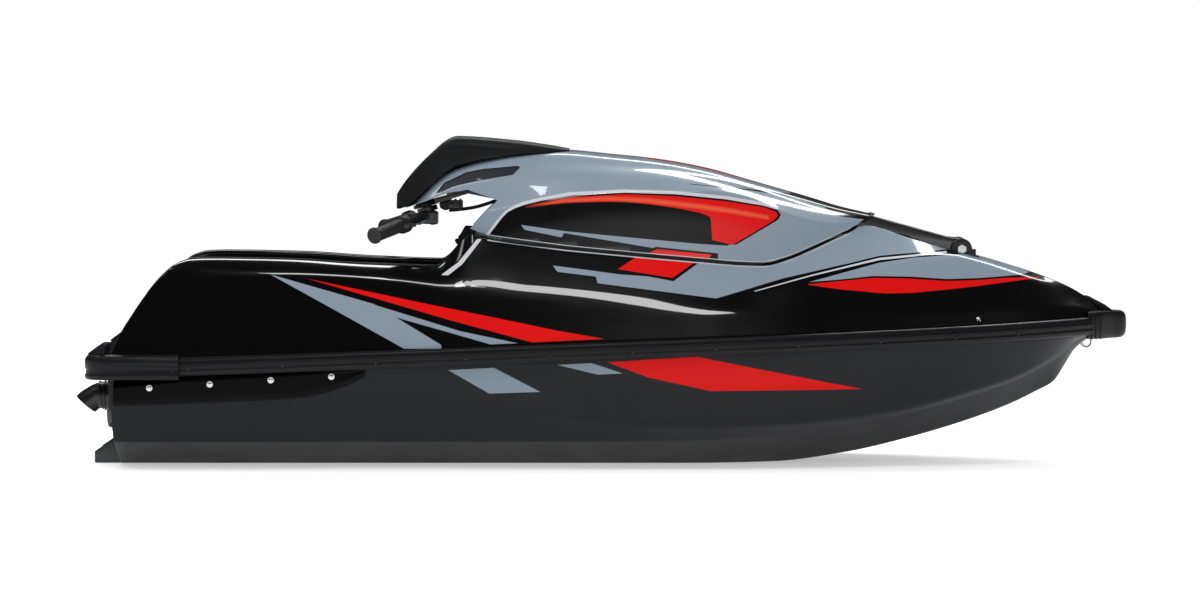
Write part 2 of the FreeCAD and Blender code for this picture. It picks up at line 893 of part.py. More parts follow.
def intake_grate():
    """Bars across the intake opening."""
    half = PUMP_BORE_R
    frame = [
        box(-745, -430, half - 8, half, 3, 15),
        box(-745, -430, -half, -half + 8, 3, 15),
        box(-745, -733, -half, half, 3, 15),
        box(-442, -430, -half, half, 3, 15),
    ]
    bars = []
    for y in (-36, 0, 36):
        bars.append(box(-740, -436, y - 4, y + 4, 4, 18))
    return frame[0].multiFuse(frame[1:] + bars)


def impeller():
    """Hub with four pitched blades on the drive shaft."""
    hub = cylinder(
        IMPELLER_HUB_R,
        V(IMPELLER_X, 0, PUMP_Z),
        V(IMPELLER_X - IMPELLER_LENGTH, 0, PUMP_Z),
    )
    spinner = Part.makeCone(
        IMPELLER_HUB_R, SHAFT_R, 30, V(IMPELLER_X, 0, PUMP_Z), V(1, 0, 0)
    )
    sweep = cylinder(
        IMPELLER_R,
        V(IMPELLER_X - 2, 0, PUMP_Z),
        V(IMPELLER_X - IMPELLER_LENGTH + 2, 0, PUMP_Z),
    )
    middle = V(IMPELLER_X - IMPELLER_LENGTH / 2, 0, PUMP_Z)
    blades = []
    for index in range(4):
        blade = Part.makeBox(BLADE_CHORD, BLADE_THICK, IMPELLER_R + 5)
        blade.translate(middle + V(-BLADE_CHORD / 2, -BLADE_THICK / 2, 0))
        blade.rotate(middle, UP, BLADE_PITCH)
        blade.rotate(middle, BOW, 90 * index)
        blades.append(blade.common(sweep))
    return hub.multiFuse([spinner] + blades)


def drive_shaft():
    front = ENGINE_X - ENGINE_LENGTH / 2 + 40
    rear = IMPELLER_X - IMPELLER_LENGTH - 46
    return cylinder(SHAFT_R, V(front, 0, PUMP_Z), V(rear, 0, PUMP_Z))


def exhaust_outlet(hull_shape):
    """Bent pipe at the starboard end of the transom."""
    turn = math.radians(EXHAUST_TURN)
    start_x = EXHAUST_TIP_X + (EXHAUST_BEND + EXHAUST_R) * math.sin(turn)
    root_x = TRANSOM_TOP[0] + 30

    line = [V(root_x, EXHAUST_Y, EXHAUST_Z), V(start_x, EXHAUST_Y, EXHAUST_Z)]
    for step in range(1, 7):
        bend = turn * step / 6
        line.append(V(
            start_x - EXHAUST_BEND * math.sin(bend),
            EXHAUST_Y,
            EXHAUST_Z - EXHAUST_BEND * (1 - math.cos(bend)),
        ))
    flange = cylinder(
        EXHAUST_R + 9,
        V(root_x, EXHAUST_Y, EXHAUST_Z),
        V(TRANSOM_TOP[0] - 2, EXHAUST_Y, EXHAUST_Z),
    )
    body = rod(line, EXHAUST_R, 24).fuse(flange)
    return largest(body.cut(rod(line, EXHAUST_R - EXHAUST_WALL, 24)).cut(hull_shape))


def drain_plug(y, hull_shape):
    z = 110
    x = transom_x(z) + 3
    plug = cylinder(15, V(x + 20, y, z), V(x - 4, y, z))
    knob = box(x - 11, x - 3, y - 12, y + 12, z - 4, z + 4)
    return largest(plug.fuse(knob).cut(hull_shape))


def cooling_outlet(deck_shape):
    """Small nipple on the starboard side of the nose."""
    side = half_beam(COOLING_X) - COOLING_OUT
    base = V(COOLING_X, -side + COOLING_LENGTH, 374)
    tip = V(COOLING_X + 5, -side, 374)
    return largest(cylinder(8, base, tip).cut(deck_shape))


def pivot_bracket(deck_shape):
    """Two cheeks that carry the pivot pin of the pole."""
    floor = PIVOT_Z - PIVOT_HUB_R - CHANNEL_CLEAR
    inner = ARM_HALF + CHEEK_CLEAR
    cheek = cylinder(
        PIVOT_HUB_R,
        V(PIVOT_X, inner, PIVOT_Z),
        V(PIVOT_X, inner + CHEEK_THICK, PIVOT_Z),
    )
    foot = box(
        PIVOT_X - PIVOT_HUB_R,
        PIVOT_X + PIVOT_HUB_R + 10,
        inner,
        inner + CHEEK_THICK,
        floor - 8,
        PIVOT_Z,
    )
    side = cheek.fuse(foot)
    nut_outer = CHANNEL_HALF - 1
    pin = cylinder(
        PIVOT_PIN_R, V(PIVOT_X, -nut_outer, PIVOT_Z), V(PIVOT_X, nut_outer, PIVOT_Z)
    )
    nut = cylinder(
        13,
        V(PIVOT_X, inner + CHEEK_THICK, PIVOT_Z),
        V(PIVOT_X, nut_outer, PIVOT_Z),
    )
    base = box(
        PIVOT_X - PIVOT_HUB_R, PIVOT_X + PIVOT_HUB_R + 10, -inner, inner, floor - 8, floor + 3
    )
    whole = side.multiFuse([mirrored(side), pin, nut, mirrored(nut), base])
    return largest(whole.cut(deck_shape))


def arm_form():
    """Solid arm along its centreline."""
    upper = []
    lower = []
    for index, (x, z) in enumerate(ARM_LINE):
        before = ARM_LINE[max(index - 1, 0)]
        after = ARM_LINE[min(index + 1, len(ARM_LINE) - 1)]
        dx = after[0] - before[0]
        dz = after[1] - before[1]
        length = math.hypot(dx, dz)
        nx = -dz / length * ARM_DEPTH / 2
        nz = dx / length * ARM_DEPTH / 2
        upper.append((x - nx, z - nz))
        lower.append((x + nx, z + nz))
    return side_prism(upper + lower[::-1], ARM_HALF)


def pole_arm():
    arm = arm_form()
    hub = cylinder(
        PIVOT_HUB_R - 1, V(PIVOT_X, -ARM_HALF, PIVOT_Z), V(PIVOT_X, ARM_HALF, PIVOT_Z)
    )
    bore = cylinder(
        PIVOT_PIN_R + RUNNING_FIT,
        V(PIVOT_X, -ARM_HALF - 1, PIVOT_Z),
        V(PIVOT_X, ARM_HALF + 1, PIVOT_Z),
    )
    return largest(arm.fuse(hub).cut(bore))


def cover_section(row, inset):
    """One closed section of the pole cover, inset on all sides but the foot."""
    x, foot_y, shelf_y, shelf_z, step, shoulder_y, shoulder_z, top = row
    foot_z = 480 - inset * 20
    y0 = foot_y - inset
    y1 = shelf_y - inset
    y2 = shelf_y - step - inset
    z1 = shelf_z
    z2 = shelf_z + step
    y3 = shoulder_y - inset * 0.7
    z3 = shoulder_z - inset * 0.7
    z4 = top - inset
    half = [
        (y0, foot_z),
        (y1 + (y0 - y1) * 0.55 + 2, z1 + (foot_z - z1) * 0.62),
        (y1 + (y0 - y1) * 0.22 + 3, z1 + (foot_z - z1) * 0.26),
        (y1, z1),
        (y2, z2),
        (y2 + (y3 - y2) * 0.42, z2 + (z3 - z2) * 0.56),
        (y3 + (y2 - y3) * 0.09, z3 - (z3 - z2) * 0.12),
        (y3 * 0.90, z3 + (z4 - z3) * 0.45),
        (y3 * 0.52, z3 + (z4 - z3) * 0.87),
    ]
    upper = [V(x, y, z) for y, z in half] + [V(x, 0, z4)]
    lower = [V(x, -y, z) for y, z in reversed(half)]
    return polygon(upper + lower)


def cover_form(inset, aft_x, fore_x, spacing=COVER_SPACING):
    aft = max(aft_x, COVER_LINES[0][0])
    fore = min(fore_x, COVER_LINES[-1][0])
    sections = []
    for x in stations(aft, fore, spacing):
        row = [x] + [fair(COVER_LINES, x, column) for column in range(1, 8)]
        sections.append(cover_section(row, inset))
    return Part.makeLoft(sections, True, True)


def cover_front(z, ahead=0.0):
    """Point of the raked front edge of the cover."""
    return (COVER_FRONT_X + (z - COVER_FRONT_Z) * COVER_FRONT_RAKE + ahead, z)


def cover_side_cut():
    """Side outline that the cover keeps: tail, rear edge, seam and raked front."""
    gap = SEAM_GAP / 2
    last = SEAM[-1][0] - 10
    lower = [(x, seam_z(x) + gap) for x in stations(SEAM[1][0], last, 40)]
    front = [cover_front(lower[-1][1] + 2), cover_front(690)]
    return TAIL_PROFILE[::-1] + lower + front + [(900, 900), (-620, 900), (-620, 640)]


def cover_outer():
    keep = side_prism(cover_side_cut(), 260)
    return cover_form(0, -600, 720).common(keep)


def pole_cover(outer):
    cavity = cover_form(COVER_WALL, -350, 720)
    tail = box(-700, -300, -300, 300, 668, 900)
    shell = outer.cut(cavity.cut(tail)).cut(arm_form())
    return largest(shell)


def front_rim():
    """Rubber lip where the cover's front bridges the arm."""
    rows = cover_form(-3, 500, 720)
    slab = side_prism(
        [
            cover_front(617),
            cover_front(617, RIM_THICK),
            cover_front(670, RIM_THICK),
            cover_front(670),
        ],
        120,
    )
    gap = cover_form(COVER_WALL + 1, 500, 720)
    arch = rows.common(slab).cut(gap)
    foot = arch.cut(arm_form())
    return largest(foot)


def pole_pad(outer):
    sections = []
    for x in stations(PAD_LINES[0][0], PAD_LINES[-1][0], 28):
        half = fair(PAD_LINES, x, 1)
        top = fair(PAD_LINES, x, 2)
        under = fair(COVER_LINES, x, 7) - 40
        drop = (top - under)
        shoulder = min(20.0, drop * 0.4)
        outline = [
            (half, under),
            (half + 2, under + drop * 0.5),
            (half, top - shoulder),
            (half - shoulder * 0.3, top - shoulder * 0.4),
            (half - shoulder * 0.9, top - shoulder * 0.1),
            (half * 0.4, top),
        ]
        sections.append(mirrored_outline(x, outline))
    above = side_prism(
        [(-600, 640), (-533, 648), (-470, 668), (-400, 694), (0, 694), (0, 900), (-600, 900)],
        200,
    )
    pad = Part.makeLoft(sections, True, True).common(above)
    return largest(pad.cut(outer).cut(arm_form()))


def steering_axis():
    lean = math.radians(STEER_LEAN)
    return V(-math.sin(lean), 0, math.cos(lean))


def steering_point(up, forward=0.0):
    """Point on or ahead of the steering axis, measured from the bar clamp."""
    axis = steering_axis()
    ahead = V(axis.z, 0, -axis.x)
    return V(STEER_X, 0, STEER_Z) + axis * up + ahead * forward


def steering_column(outer):
    """Fixed bearing tube under the tail of the pole."""
    tube = cylinder(STEM_R + 15, steering_point(26), steering_point(70))
    collar = cylinder(STEM_R + 21, steering_point(24), steering_point(34))
    bore = cylinder(
        STEM_R + RUNNING_FIT, steering_point(20), steering_point(STEM_LENGTH + 1)
    )
    return largest(tube.fuse(collar).cut(outer).cut(arm_form()).cut(bore))


def lower_flange(outer):
    """Black tray under the tail that carries the switch box and cables."""
    body = side_prism(
        [(-440, 676), (-352, 700), (-268, 682), (-264, 672), (-352, 690), (-436, 664)], 62
    )
    return largest(body.cut(outer).cut(steering_column(outer)))


def switch_box():
    return box(-404, -366, -66, -36, 650, 674)


def control_cable():
    """Sheathed cables from the steering column into the cover's notch."""
    points = [V(-402, -24, 646), V(-350, -30, 650), V(-300, -34, 664), V(-270, -36, 676)]
    return rod(points, 4.5)


def handlebar_points():
    """Centreline of the starboard half of the bar, from the clamp to its end."""
    return [
        V(STEER_X - 8, 0, STEER_Z),
        V(STEER_X - 8, -80, STEER_Z),
        V(STEER_X - 52, -172, STEER_Z - 14),
        V(STEER_X - BAR_SWEEP, -BAR_HALF_SPAN, STEER_Z - BAR_DROP),
    ]


def handlebar():
    points = handlebar_points()
    pieces = []
    for start, end in zip(points, points[1:]):
        pieces.append(cylinder(BAR_R, start, end))
    for point in points[1:-1]:
        pieces.append(Part.makeSphere(BAR_R, point))
    half = pieces[0].multiFuse(pieces[1:])
    return half.fuse(mirrored(half))


def bar_clamp():
    """Block that clamps the bar to the foot of the steering stem."""
    block = box(STEER_X - 32, STEER_X + 24, -42, 42, STEER_Z - 22, STEER_Z + 12)
    stem = cylinder(STEM_R, steering_point(10), steering_point(STEM_LENGTH))
    disc = cylinder(STEM_R + 14, steering_point(8), steering_point(23))
    return block.multiFuse([stem, disc]).cut(handlebar())


def grip(sign):
    """Rubber grip on one end of the bar; sign is 1 on the port side."""
    points = handlebar_points()
    end = points[-1]
    inner = points[-2]
    direction = (end - inner).normalize()
    start = end - direction * GRIP_LENGTH
    tip = end + direction * 6
    body = cylinder(GRIP_R, start, tip)
    flange = cylinder(GRIP_FLANGE_R, start - direction * 6, start)
    knob = cylinder(GRIP_FLANGE_R, end, tip)
    whole = body.multiFuse([flange, knob]).cut(handlebar())
    return whole if sign < 0 else mirrored(whole)


def control_housing(sign):
    """Clamp-on housing beside a grip; sign is 1 on the port side."""
    points = handlebar_points()
    direction = (points[-1] - points[-2]).normalize()
    start = points[-1] - direction * (GRIP_LENGTH + 6.3)
    end = start - direction * 22
    body = cylinder(23, start, end)
    block = Part.makeBox(36, 30, 26, V(-18, -15, -8))
    block.translate((start + end) * 0.5)
    behind = cylinder(40, start, start + direction * 60)
    whole = body.fuse(block).cut(behind).cut(handlebar())
    return whole if sign < 0 else mirrored(whole)


def throttle_lever():
    """Finger lever in front of the starboard grip."""
    points = handlebar_points()
    direction = (points[-1] - points[-2]).normalize()
    root = points[-1] - direction * (GRIP_LENGTH + 20) + V(26, 0, -7)
    tip = root + direction * 72 + V(14, 0, -4)
    ahead = V(5, 0, 0)
    outline = [
        root - ahead,
        tip - ahead,
        tip + direction * 7,
        tip + ahead * 1.8,
        tip - direction * 14 + ahead,
        root + ahead,
    ]
    outline = [V(point.x, point.y, root.z) for point in outline]
    lever = extruded(outline, V(0, 0, 9))
    return largest(lever.cut(control_housing(-1)).cut(grip(-1)))


NODES = {}


def build():
    hull_shape = hull_bottom()
    deck_shape = deck()
    outer = cover_outer()
    NODES["hull_bottom"] = hull_shape
    NODES["deck"] = deck_shape
    NODES["engine_hood"] = engine_hood(deck_shape)
    NODES["hood_latch"] = hood_latch().cut(deck_shape).cut(NODES["engine_hood"])
    NODES["engine_block"] = engine_block()
    NODES["rail_port"] = rail()
    NODES["rail_starboard"] = mirrored(rail())
    port_bumper = stern_bumper()
    NODES["stern_bumper_port"] = port_bumper
    NODES["stern_bumper_starboard"] = mirrored(port_bumper)
    NODES["bow_bumper"] = bow_bumper(hull_shape, deck_shape)
    NODES["bow_eye"] = largest(bow_eye(hull_shape).cut(NODES["bow_bumper"]))
    NODES["sponson_port"] = largest(sponson(hull_shape).cut(port_bumper))
    NODES["sponson_starboard"] = mirrored(NODES["sponson_port"])
    NODES["tray_mat"] = tray_mat()
    NODES["tray_wall_pad_port"] = wall_pad()
    NODES["tray_wall_pad_starboard"] = mirrored(wall_pad())
    NODES["exhaust_outlet"] = exhaust_outlet(hull_shape)
    NODES["drain_plug_port"] = drain_plug(DRAIN_PORT_Y, hull_shape)
    NODES["drain_plug_starboard"] = drain_plug(DRAIN_STARBOARD_Y, hull_shape)
    NODES["cooling_outlet"] = cooling_outlet(deck_shape)
    NODES["pump_housing"] = pump_housing()
    NODES["pump_outlet"] = pump_outlet()
    NODES["ride_plate"] = ride_plate(hull_shape)
    NODES["intake_grate"] = intake_grate()
    NODES["pivot_bracket"] = pivot_bracket(deck_shape)
    NODES["impeller"] = impeller().cut(drive_shaft())
    NODES["drive_shaft"] = drive_shaft()
    NODES["steering_nozzle"] = steering_nozzle()
    NODES["pole_arm"] = pole_arm()
    NODES["pole_cover"] = pole_cover(outer)
    NODES["front_rim"] = front_rim()
    NODES["pole_pad"] = pole_pad(outer)
    NODES["steering_column"] = steering_column(outer)
    NODES["lower_flange"] = lower_flange(outer)
    NODES["switch_box"] = largest(switch_box().cut(NODES["lower_flange"]))
    cable = control_cable().cut(outer).cut(NODES["lower_flange"]).cut(NODES["switch_box"])
    NODES["control_cable"] = largest(cable.cut(NODES["steering_column"]))
    NODES["handlebar"] = handlebar()
    NODES["bar_clamp"] = bar_clamp()
    NODES["grip_starboard"] = grip(-1)
    NODES["grip_port"] = grip(1)
    NODES["throttle_housing"] = control_housing(-1)
    NODES["switch_housing"] = control_housing(1)
    NODES["throttle_lever"] = throttle_lever()


build()
os.makedirs("parts", exist_ok=True)
for name, shape in NODES.items():
    shape.exportStep("parts/%s.step" % name)
    extent = shape.BoundBox
    print(
        "%-24s solids %d valid %s vol %.0f cm3 x %.0f..%.0f y %.0f..%.0f z %.0f..%.0f"
        % (
            name,
            len(shape.Solids),
            shape.isValid(),
            shape.Volume / 1000,
            extent.XMin,
            extent.XMax,
            extent.YMin,
            extent.YMax,
            extent.ZMin,
            extent.ZMax,
        )
    )
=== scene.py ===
import bpy
import math
from mathutils import Matrix, Vector


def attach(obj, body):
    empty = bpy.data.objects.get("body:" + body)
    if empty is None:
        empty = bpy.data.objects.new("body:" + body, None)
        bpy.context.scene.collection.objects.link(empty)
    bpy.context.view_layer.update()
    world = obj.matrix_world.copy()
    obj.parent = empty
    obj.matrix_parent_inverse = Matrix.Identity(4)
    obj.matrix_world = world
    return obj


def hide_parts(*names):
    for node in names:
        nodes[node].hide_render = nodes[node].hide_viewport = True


# Looks of the stand-up personal watercraft. Blender works in metres, and the tables of the
# hull's, deck's and cover's lines are in millimetres, as in the part's source.
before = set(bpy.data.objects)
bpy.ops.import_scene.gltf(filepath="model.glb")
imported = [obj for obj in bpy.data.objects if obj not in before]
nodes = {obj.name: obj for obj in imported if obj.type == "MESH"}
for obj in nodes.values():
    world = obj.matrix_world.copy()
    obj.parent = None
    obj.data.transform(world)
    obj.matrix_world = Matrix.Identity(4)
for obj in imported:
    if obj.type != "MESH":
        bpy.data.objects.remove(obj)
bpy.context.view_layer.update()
bpy.ops.object.select_all(action="DESELECT")


# Lines of the craft

BOND_Z_MIDSHIPS = 303.5
BOND_RISE = 0.0388
BOND_BAND = 24.0
HULL_HALF_BEAM = 362.5
BOW_END_X = 1290.0
TRANSOM_TOP = (-1253.0, 262.0)
TRANSOM_FOOT = (-1243.0, 0.0)
TRAY_HALF = 205.0
CHANNEL_HALF = 80.0
SEAM_GAP = 9.0
KEEL_PAD_HALF = 110.0
TRAY_FORE = -338.0
CHANNEL_AFT = 560.0
CHANNEL_FORE = 960.0
ENGINE_BAY_X = (-245, 385)
ENGINE_BAY_HALF = 165
PUMP_BAY_HALF = 100
DUCT_HALF = 74
COVER_FOOT_Z = 480.0
COVER_WALL = 6.0
RECESS_DEPTH = 4.0
PAD_GAP = 0.6
PUMP_Z = 132.0
PIVOT_X = 915.0
PIVOT_Z = 548.0
MERGE = 0.00002
CRISP = 1400.0
SOFT = 110.0
MOTTLE = 14.0

BOND_PLAN = [
    (-1265, 0.945), (-900, 0.985), (-300, 1.0), (250, 1.0), (500, 0.965), (700, 0.890),
    (850, 0.795), (980, 0.672), (1090, 0.525), (1180, 0.372), (1245, 0.232), (1290, 0.110),
]

# Station, keel height, chine as a share of the half-beam and its height, knuckle likewise
HULL_LINES = [
    (-1265, 0, 0.782, 68, 0.963, 200), (-900, 0, 0.780, 69, 0.966, 198),
    (-500, 0, 0.780, 70, 0.969, 192), (-150, 0, 0.778, 70, 0.963, 143),
    (200, 0, 0.772, 71, 0.943, 114), (430, 4, 0.757, 86, 0.920, 118),
    (620, 28, 0.731, 108, 0.868, 132), (780, 64, 0.697, 140, 0.808, 154),
    (920, 104, 0.662, 176, 0.758, 188), (1040, 147, 0.620, 212, 0.716, 222),
    (1110, 180, 0.595, 242, 0.703, 252), (1155, 204, 0.569, 265, 0.683, 277),
    (1190, 256, 0.545, 289, 0.668, 300), (1210, 287, 0.530, 302, 0.660, 312),
    (1250, 316, 0.510, 320, 0.640, 325), (1290, 324, 0.500, 327, 0.640, 329),
]

SEAM = [
    (-345, 208, 598), (-300, 211, 583), (-100, 215, 557), (100, 215, 538), (258, 213, 524),
    (341, 211, 517), (405, 206, 515), (463, 195, 529), (537, 170, 559), (589, 142, 582),
    (628, 112, 598), (650, 88, 612),
]

# Station, crease share and height, upper crease share and height, shoulder height
DECK_LINES = [
    (-1265, 0.928, 420, 0.55, 470, 500), (-1000, 0.880, 483, 0.60, 514, 534),
    (-800, 0.855, 494, 0.62, 513, 531), (-600, 0.839, 486, 0.63, 504, 519),
    (-430, 0.829, 468, 0.61, 494, 514), (-340, 0.828, 459, 0.58, 515, 590),
    (-200, 0.836, 446, 0.56, 500, 566), (0, 0.850, 425, 0.55, 480, 543),
    (200, 0.877, 404, 0.53, 462, 525), (341, 0.889, 396, 0.56, 449, 513),
    (463, 0.894, 393, 0.50, 468, 525), (589, 0.880, 392, 0.51, 491, 578),
    (660, 0.870, 392, 0.56, 504, 610), (780, 0.853, 394, 0.48, 525, 577),
    (890, 0.843, 397, 0.36, 536, 545), (960, 0.829, 399, 0.34, 520, 529),
    (1050, 0.820, 401, 0.36, 490, 503), (1130, 0.825, 401, 0.37, 458, 477),
    (1200, 0.860, 399, 0.37, 428, 447), (1250, 0.920, 390, 0.37, 405, 417),
    (1290, 0.950, 378, 0.45, 388, 396),
]
GUNWALE_TOP = [(-1265, 77), (-1000, 65), (-800, 59), (-600, 53), (-430, 33), (-380, 12), (-345, 3)]
NOSE_TOP = [(650, 84), (900, 81), (960, 62), (1050, 46), (1130, 36), (1200, 28), (1290, 12)]
STERN_TOP = [
    (-1262, 240), (-1250, 275), (-1236, 310), (-1222, 345), (-1195, 390), (-1164, 436),
    (-1119, 492), (-1085, 520), (-1041, 540), (-1000, 700),
]
TRAY_FLOOR = [(-1500, 302), (-435, 315), (-405, 345), (-338, 614)]
CHANNEL_FLOOR = [(560, 592), (676, 575), (880, 509), (958, 511)]

# Pole cover: station, foot half-width, shelf half-width and height, shelf step, shoulder
# half-width and height, top height
COVER_LINES = [
    (-545, 90, 66, 604, 1, 58, 622, 634), (-500, 112, 84, 620, 1, 72, 646, 662),
    (-445, 140, 108, 634, 1, 84, 704, 722), (-398, 162, 128, 640, 1, 92, 738, 756),
    (-318, 190, 158, 646, 2, 100, 762, 781), (-230, 209, 186, 660, 5, 106, 777, 796),
    (-115, 215, 194, 682, 7, 110, 784, 803), (0, 217, 198, 695, 7, 112, 775, 793),
    (140, 217, 199, 700, 7, 114, 762, 778), (260, 215, 195, 698, 6, 112, 740, 756),
    (360, 211, 186, 684, 4, 106, 714, 728), (450, 200, 172, 648, 2, 98, 688, 702),
    (537, 174, 150, 622, 1, 88, 662, 677), (600, 138, 124, 616, 1, 82, 646, 657),
    (660, 90, 84, 618, 1, 75, 636, 643), (720, 86, 82, 606, 1, 71, 622, 629),
]
TAIL_PROFILE = [
    (-345, 604), (-312, 640), (-275, 676), (-352, 702), (-400, 694), (-470, 668),
    (-533, 646), (-560, 640),
]
COVER_FRONT = [(645, 612), (756, 690)]
PAD_LINES = [
    (-536, 64, 690), (-522, 74, 712), (-500, 82, 740), (-452, 92, 790), (-400, 98, 832),
    (-385, 99, 837), (-250, 100, 828), (-150, 92, 815), (-92, 72, 805),
]


def fair(rows, x, column=1):
    """Value of a column at x, on a fair curve that never overshoots."""
    table = [(row[0], row[column]) for row in rows]
    if x <= table[0][0]:
        return table[0][1]
    if x >= table[-1][0]:
        return table[-1][1]
    steps = [(b[0] - a[0], b[1] - a[1]) for a, b in zip(table, table[1:])]
    slopes = [rise / run for run, rise in steps]
    tangents = [slopes[0]]
    for (run0, _), (run1, _), s0, s1 in zip(steps, steps[1:], slopes, slopes[1:]):
        if s0 * s1 <= 0:
            tangents.append(0.0)
        else:
            w0 = 2 * run1 + run0
            w1 = run1 + 2 * run0
            tangents.append((w0 + w1) / (w0 / s0 + w1 / s1))
    tangents.append(slopes[-1])
    index = max(i for i, row in enumerate(table[:-1]) if row[0] <= x)
    run = steps[index][0]
    t = (x - table[index][0]) / run
    v0 = table[index][1]
    v1 = table[index + 1][1]
    m0 = tangents[index] * run
    m1 = tangents[index + 1] * run
    return (
        v0 * (2 * t ** 3 - 3 * t ** 2 + 1) + m0 * (t ** 3 - 2 * t ** 2 + t)
        + v1 * (3 * t ** 2 - 2 * t ** 3) + m1 * (t ** 3 - t ** 2)
    )


def easy(rows, x, column, reach=36.0):
    """Fair curve averaged over a short reach each side, so that highlights run unbroken."""
    reach = max(min(reach, x - rows[0][0], rows[-1][0] - x), 0)
    weights = (1, 2, 3, 2, 1)
    values = [fair(rows, x + reach * (step - 2) / 2, column) for step in range(len(weights))]
    return sum(weight * value for weight, value in zip(weights, values)) / sum(weights)


def straight(rows, x, column=1):
    """Value of a column at x, on straight runs between the stations."""
    if x <= rows[0][0]:
        return rows[0][column]
    for a, b in zip(rows, rows[1:]):
        if x <= b[0]:
            return a[column] + (b[column] - a[column]) * (x - a[0]) / (b[0] - a[0])
    return rows[-1][column]


def stations(first, last, spacing):
    """Evenly spaced stations from first to last, both included."""
    count = max(2, round((last - first) / spacing))
    return [first + (last - first) * index / count for index in range(count + 1)]


def bond_z(x):
    """Height of the line where hull and deck are bonded."""
    return BOND_Z_MIDSHIPS + BOND_RISE * x


def half_beam(x):
    return HULL_HALF_BEAM * fair(BOND_PLAN, x)


# Modelling helpers

def take(obj):
    """Make one object the only selected one, and active."""
    bpy.ops.object.select_all(action="DESELECT")
    obj.select_set(True)
    bpy.context.view_layer.objects.active = obj
    return obj


def apply_modifier(obj, kind, **settings):
    """Add a modifier with its settings and apply it at once."""
    take(obj)
    modifier = obj.modifiers.new(kind.lower(), kind)
    for key, value in settings.items():
        setattr(modifier, key, value)
    bpy.ops.object.modifier_apply(modifier=modifier.name)
    return obj


def rounded(corners, steps=4, runs=3):
    """Points along a line of (y, z, radius) corners, always as many for as many corners."""
    points = [Vector(corner[:2]) for corner in corners]
    line = [points[0]]
    leave = points[0]
    for index in range(1, len(points) - 1):
        before, here, after = points[index - 1:index + 2]
        back = before - here
        on = after - here
        reach = min(corners[index][2], back.length * 0.45, on.length * 0.45)
        start = here + (back.normalized() * reach if back.length > 0 else back)
        end = here + (on.normalized() * reach if on.length > 0 else on)
        for step in range(1, runs + 1):
            line.append(leave.lerp(start, step / (runs + 1)))
        for step in range(steps + 1):
            t = step / steps
            line.append(start * (1 - t) ** 2 + here * 2 * t * (1 - t) + end * t ** 2)
        leave = end
    for step in range(1, runs + 2):
        line.append(leave.lerp(points[-1], step / (runs + 1)))
    return line


def laid_grid(name, rows):
    """Grid primitive whose vertices are laid through rows of points in metres."""
    across = len(rows)
    along = len(rows[0])
    bpy.ops.object.select_all(action="DESELECT")
    bpy.ops.mesh.primitive_grid_add(x_subdivisions=across - 1, y_subdivisions=along - 1, size=1)
    obj = bpy.context.object
    obj.name = name
    for vertex in obj.data.vertices:
        i = round((vertex.co.x + 0.5) * (across - 1))
        j = round((vertex.co.y + 0.5) * (along - 1))
        vertex.co = rows[i][j]
    return obj


def opened(obj):
    """Enter edit mode with the whole of one object selected."""
    take(obj)
    bpy.ops.object.mode_set(mode="EDIT")
    bpy.ops.mesh.select_all(action="SELECT")
    return obj


def faced(obj):
    """Turn the faces outwards and leave edit mode."""
    bpy.ops.mesh.select_all(action="SELECT")
    bpy.ops.mesh.normals_make_consistent(inside=False)
    bpy.ops.object.mode_set(mode="OBJECT")
    return obj


def close_up(obj, fill):
    """Merge the seam, fill open ends where wanted and turn the faces outwards."""
    opened(obj)
    bpy.ops.mesh.remove_doubles(threshold=MERGE)
    if fill:
        bpy.ops.mesh.select_all(action="SELECT")
        bpy.ops.mesh.fill_holes(sides=0)
    return faced(obj)


def skin(name, rings, fill=True):
    """Closed form through rings of points in millimetres."""
    rows = [[Vector(point) * 0.001 for point in [*ring, ring[0]]] for ring in rings]
    return close_up(laid_grid(name, rows), fill)


def hull_loft(name, outline, xs):
    """Closed form through half sections across the craft, mirrored to the other side."""
    rings = []
    for x in xs:
        half = rounded(outline(x))
        rings.append([(x, y, z) for y, z in half] + [(x, -y, z) for y, z in reversed(half)])
    return skin(name, rings)


def bevelled(obj, width, segments, degrees):
    """Round the edges whose faces meet at more than an angle."""
    return apply_modifier(
        obj, "BEVEL", width=width, segments=segments, limit_method="ANGLE",
        angle_limit=math.radians(degrees),
    )


def prism(name, outline, half_width, bevel=0.0):
    """Block from an (x, z) outline in millimetres, as wide to port as to starboard."""
    obj = skin(name, [[(x, y, z) for x, z in outline] for y in (-half_width, half_width)])
    return bevelled(obj, bevel, 3, 30) if bevel else obj


def square(name, x0, x1, z0, z1, half_width, bevel=0.0):
    """Square block between two stations and two heights in millimetres."""
    return prism(name, [(x0, z0), (x1, z0), (x1, z1), (x0, z1)], half_width, bevel)


def cut_with(obj, tool, operation="DIFFERENCE"):
    """Boolean by another object, which is then deleted."""
    apply_modifier(obj, "BOOLEAN", operation=operation, solver="EXACT", object=tool)
    take(tool)
    bpy.ops.object.delete()
    return obj


def smooth(obj, degrees):
    """Smooth shading, with sharp edges above an angle."""
    take(obj)
    bpy.ops.object.shade_smooth_by_angle(angle=math.radians(degrees))
    return obj


def finished(obj, body, slot, material, *replaced):
    """Give a piece its material and its body, and hide the CAD pieces that it replaces. The slot is
    not used.
    """
    obj.data.materials.clear()
    obj.data.materials.append(material)
    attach(obj, body)
    if replaced:
        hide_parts(*replaced)
    return obj


def copied(obj, name):
    """Copy of an object with a mesh of its own."""
    twin = obj.copy()
    twin.data = obj.data.copy()
    twin.name = name
    bpy.context.scene.collection.objects.link(twin)
    return twin


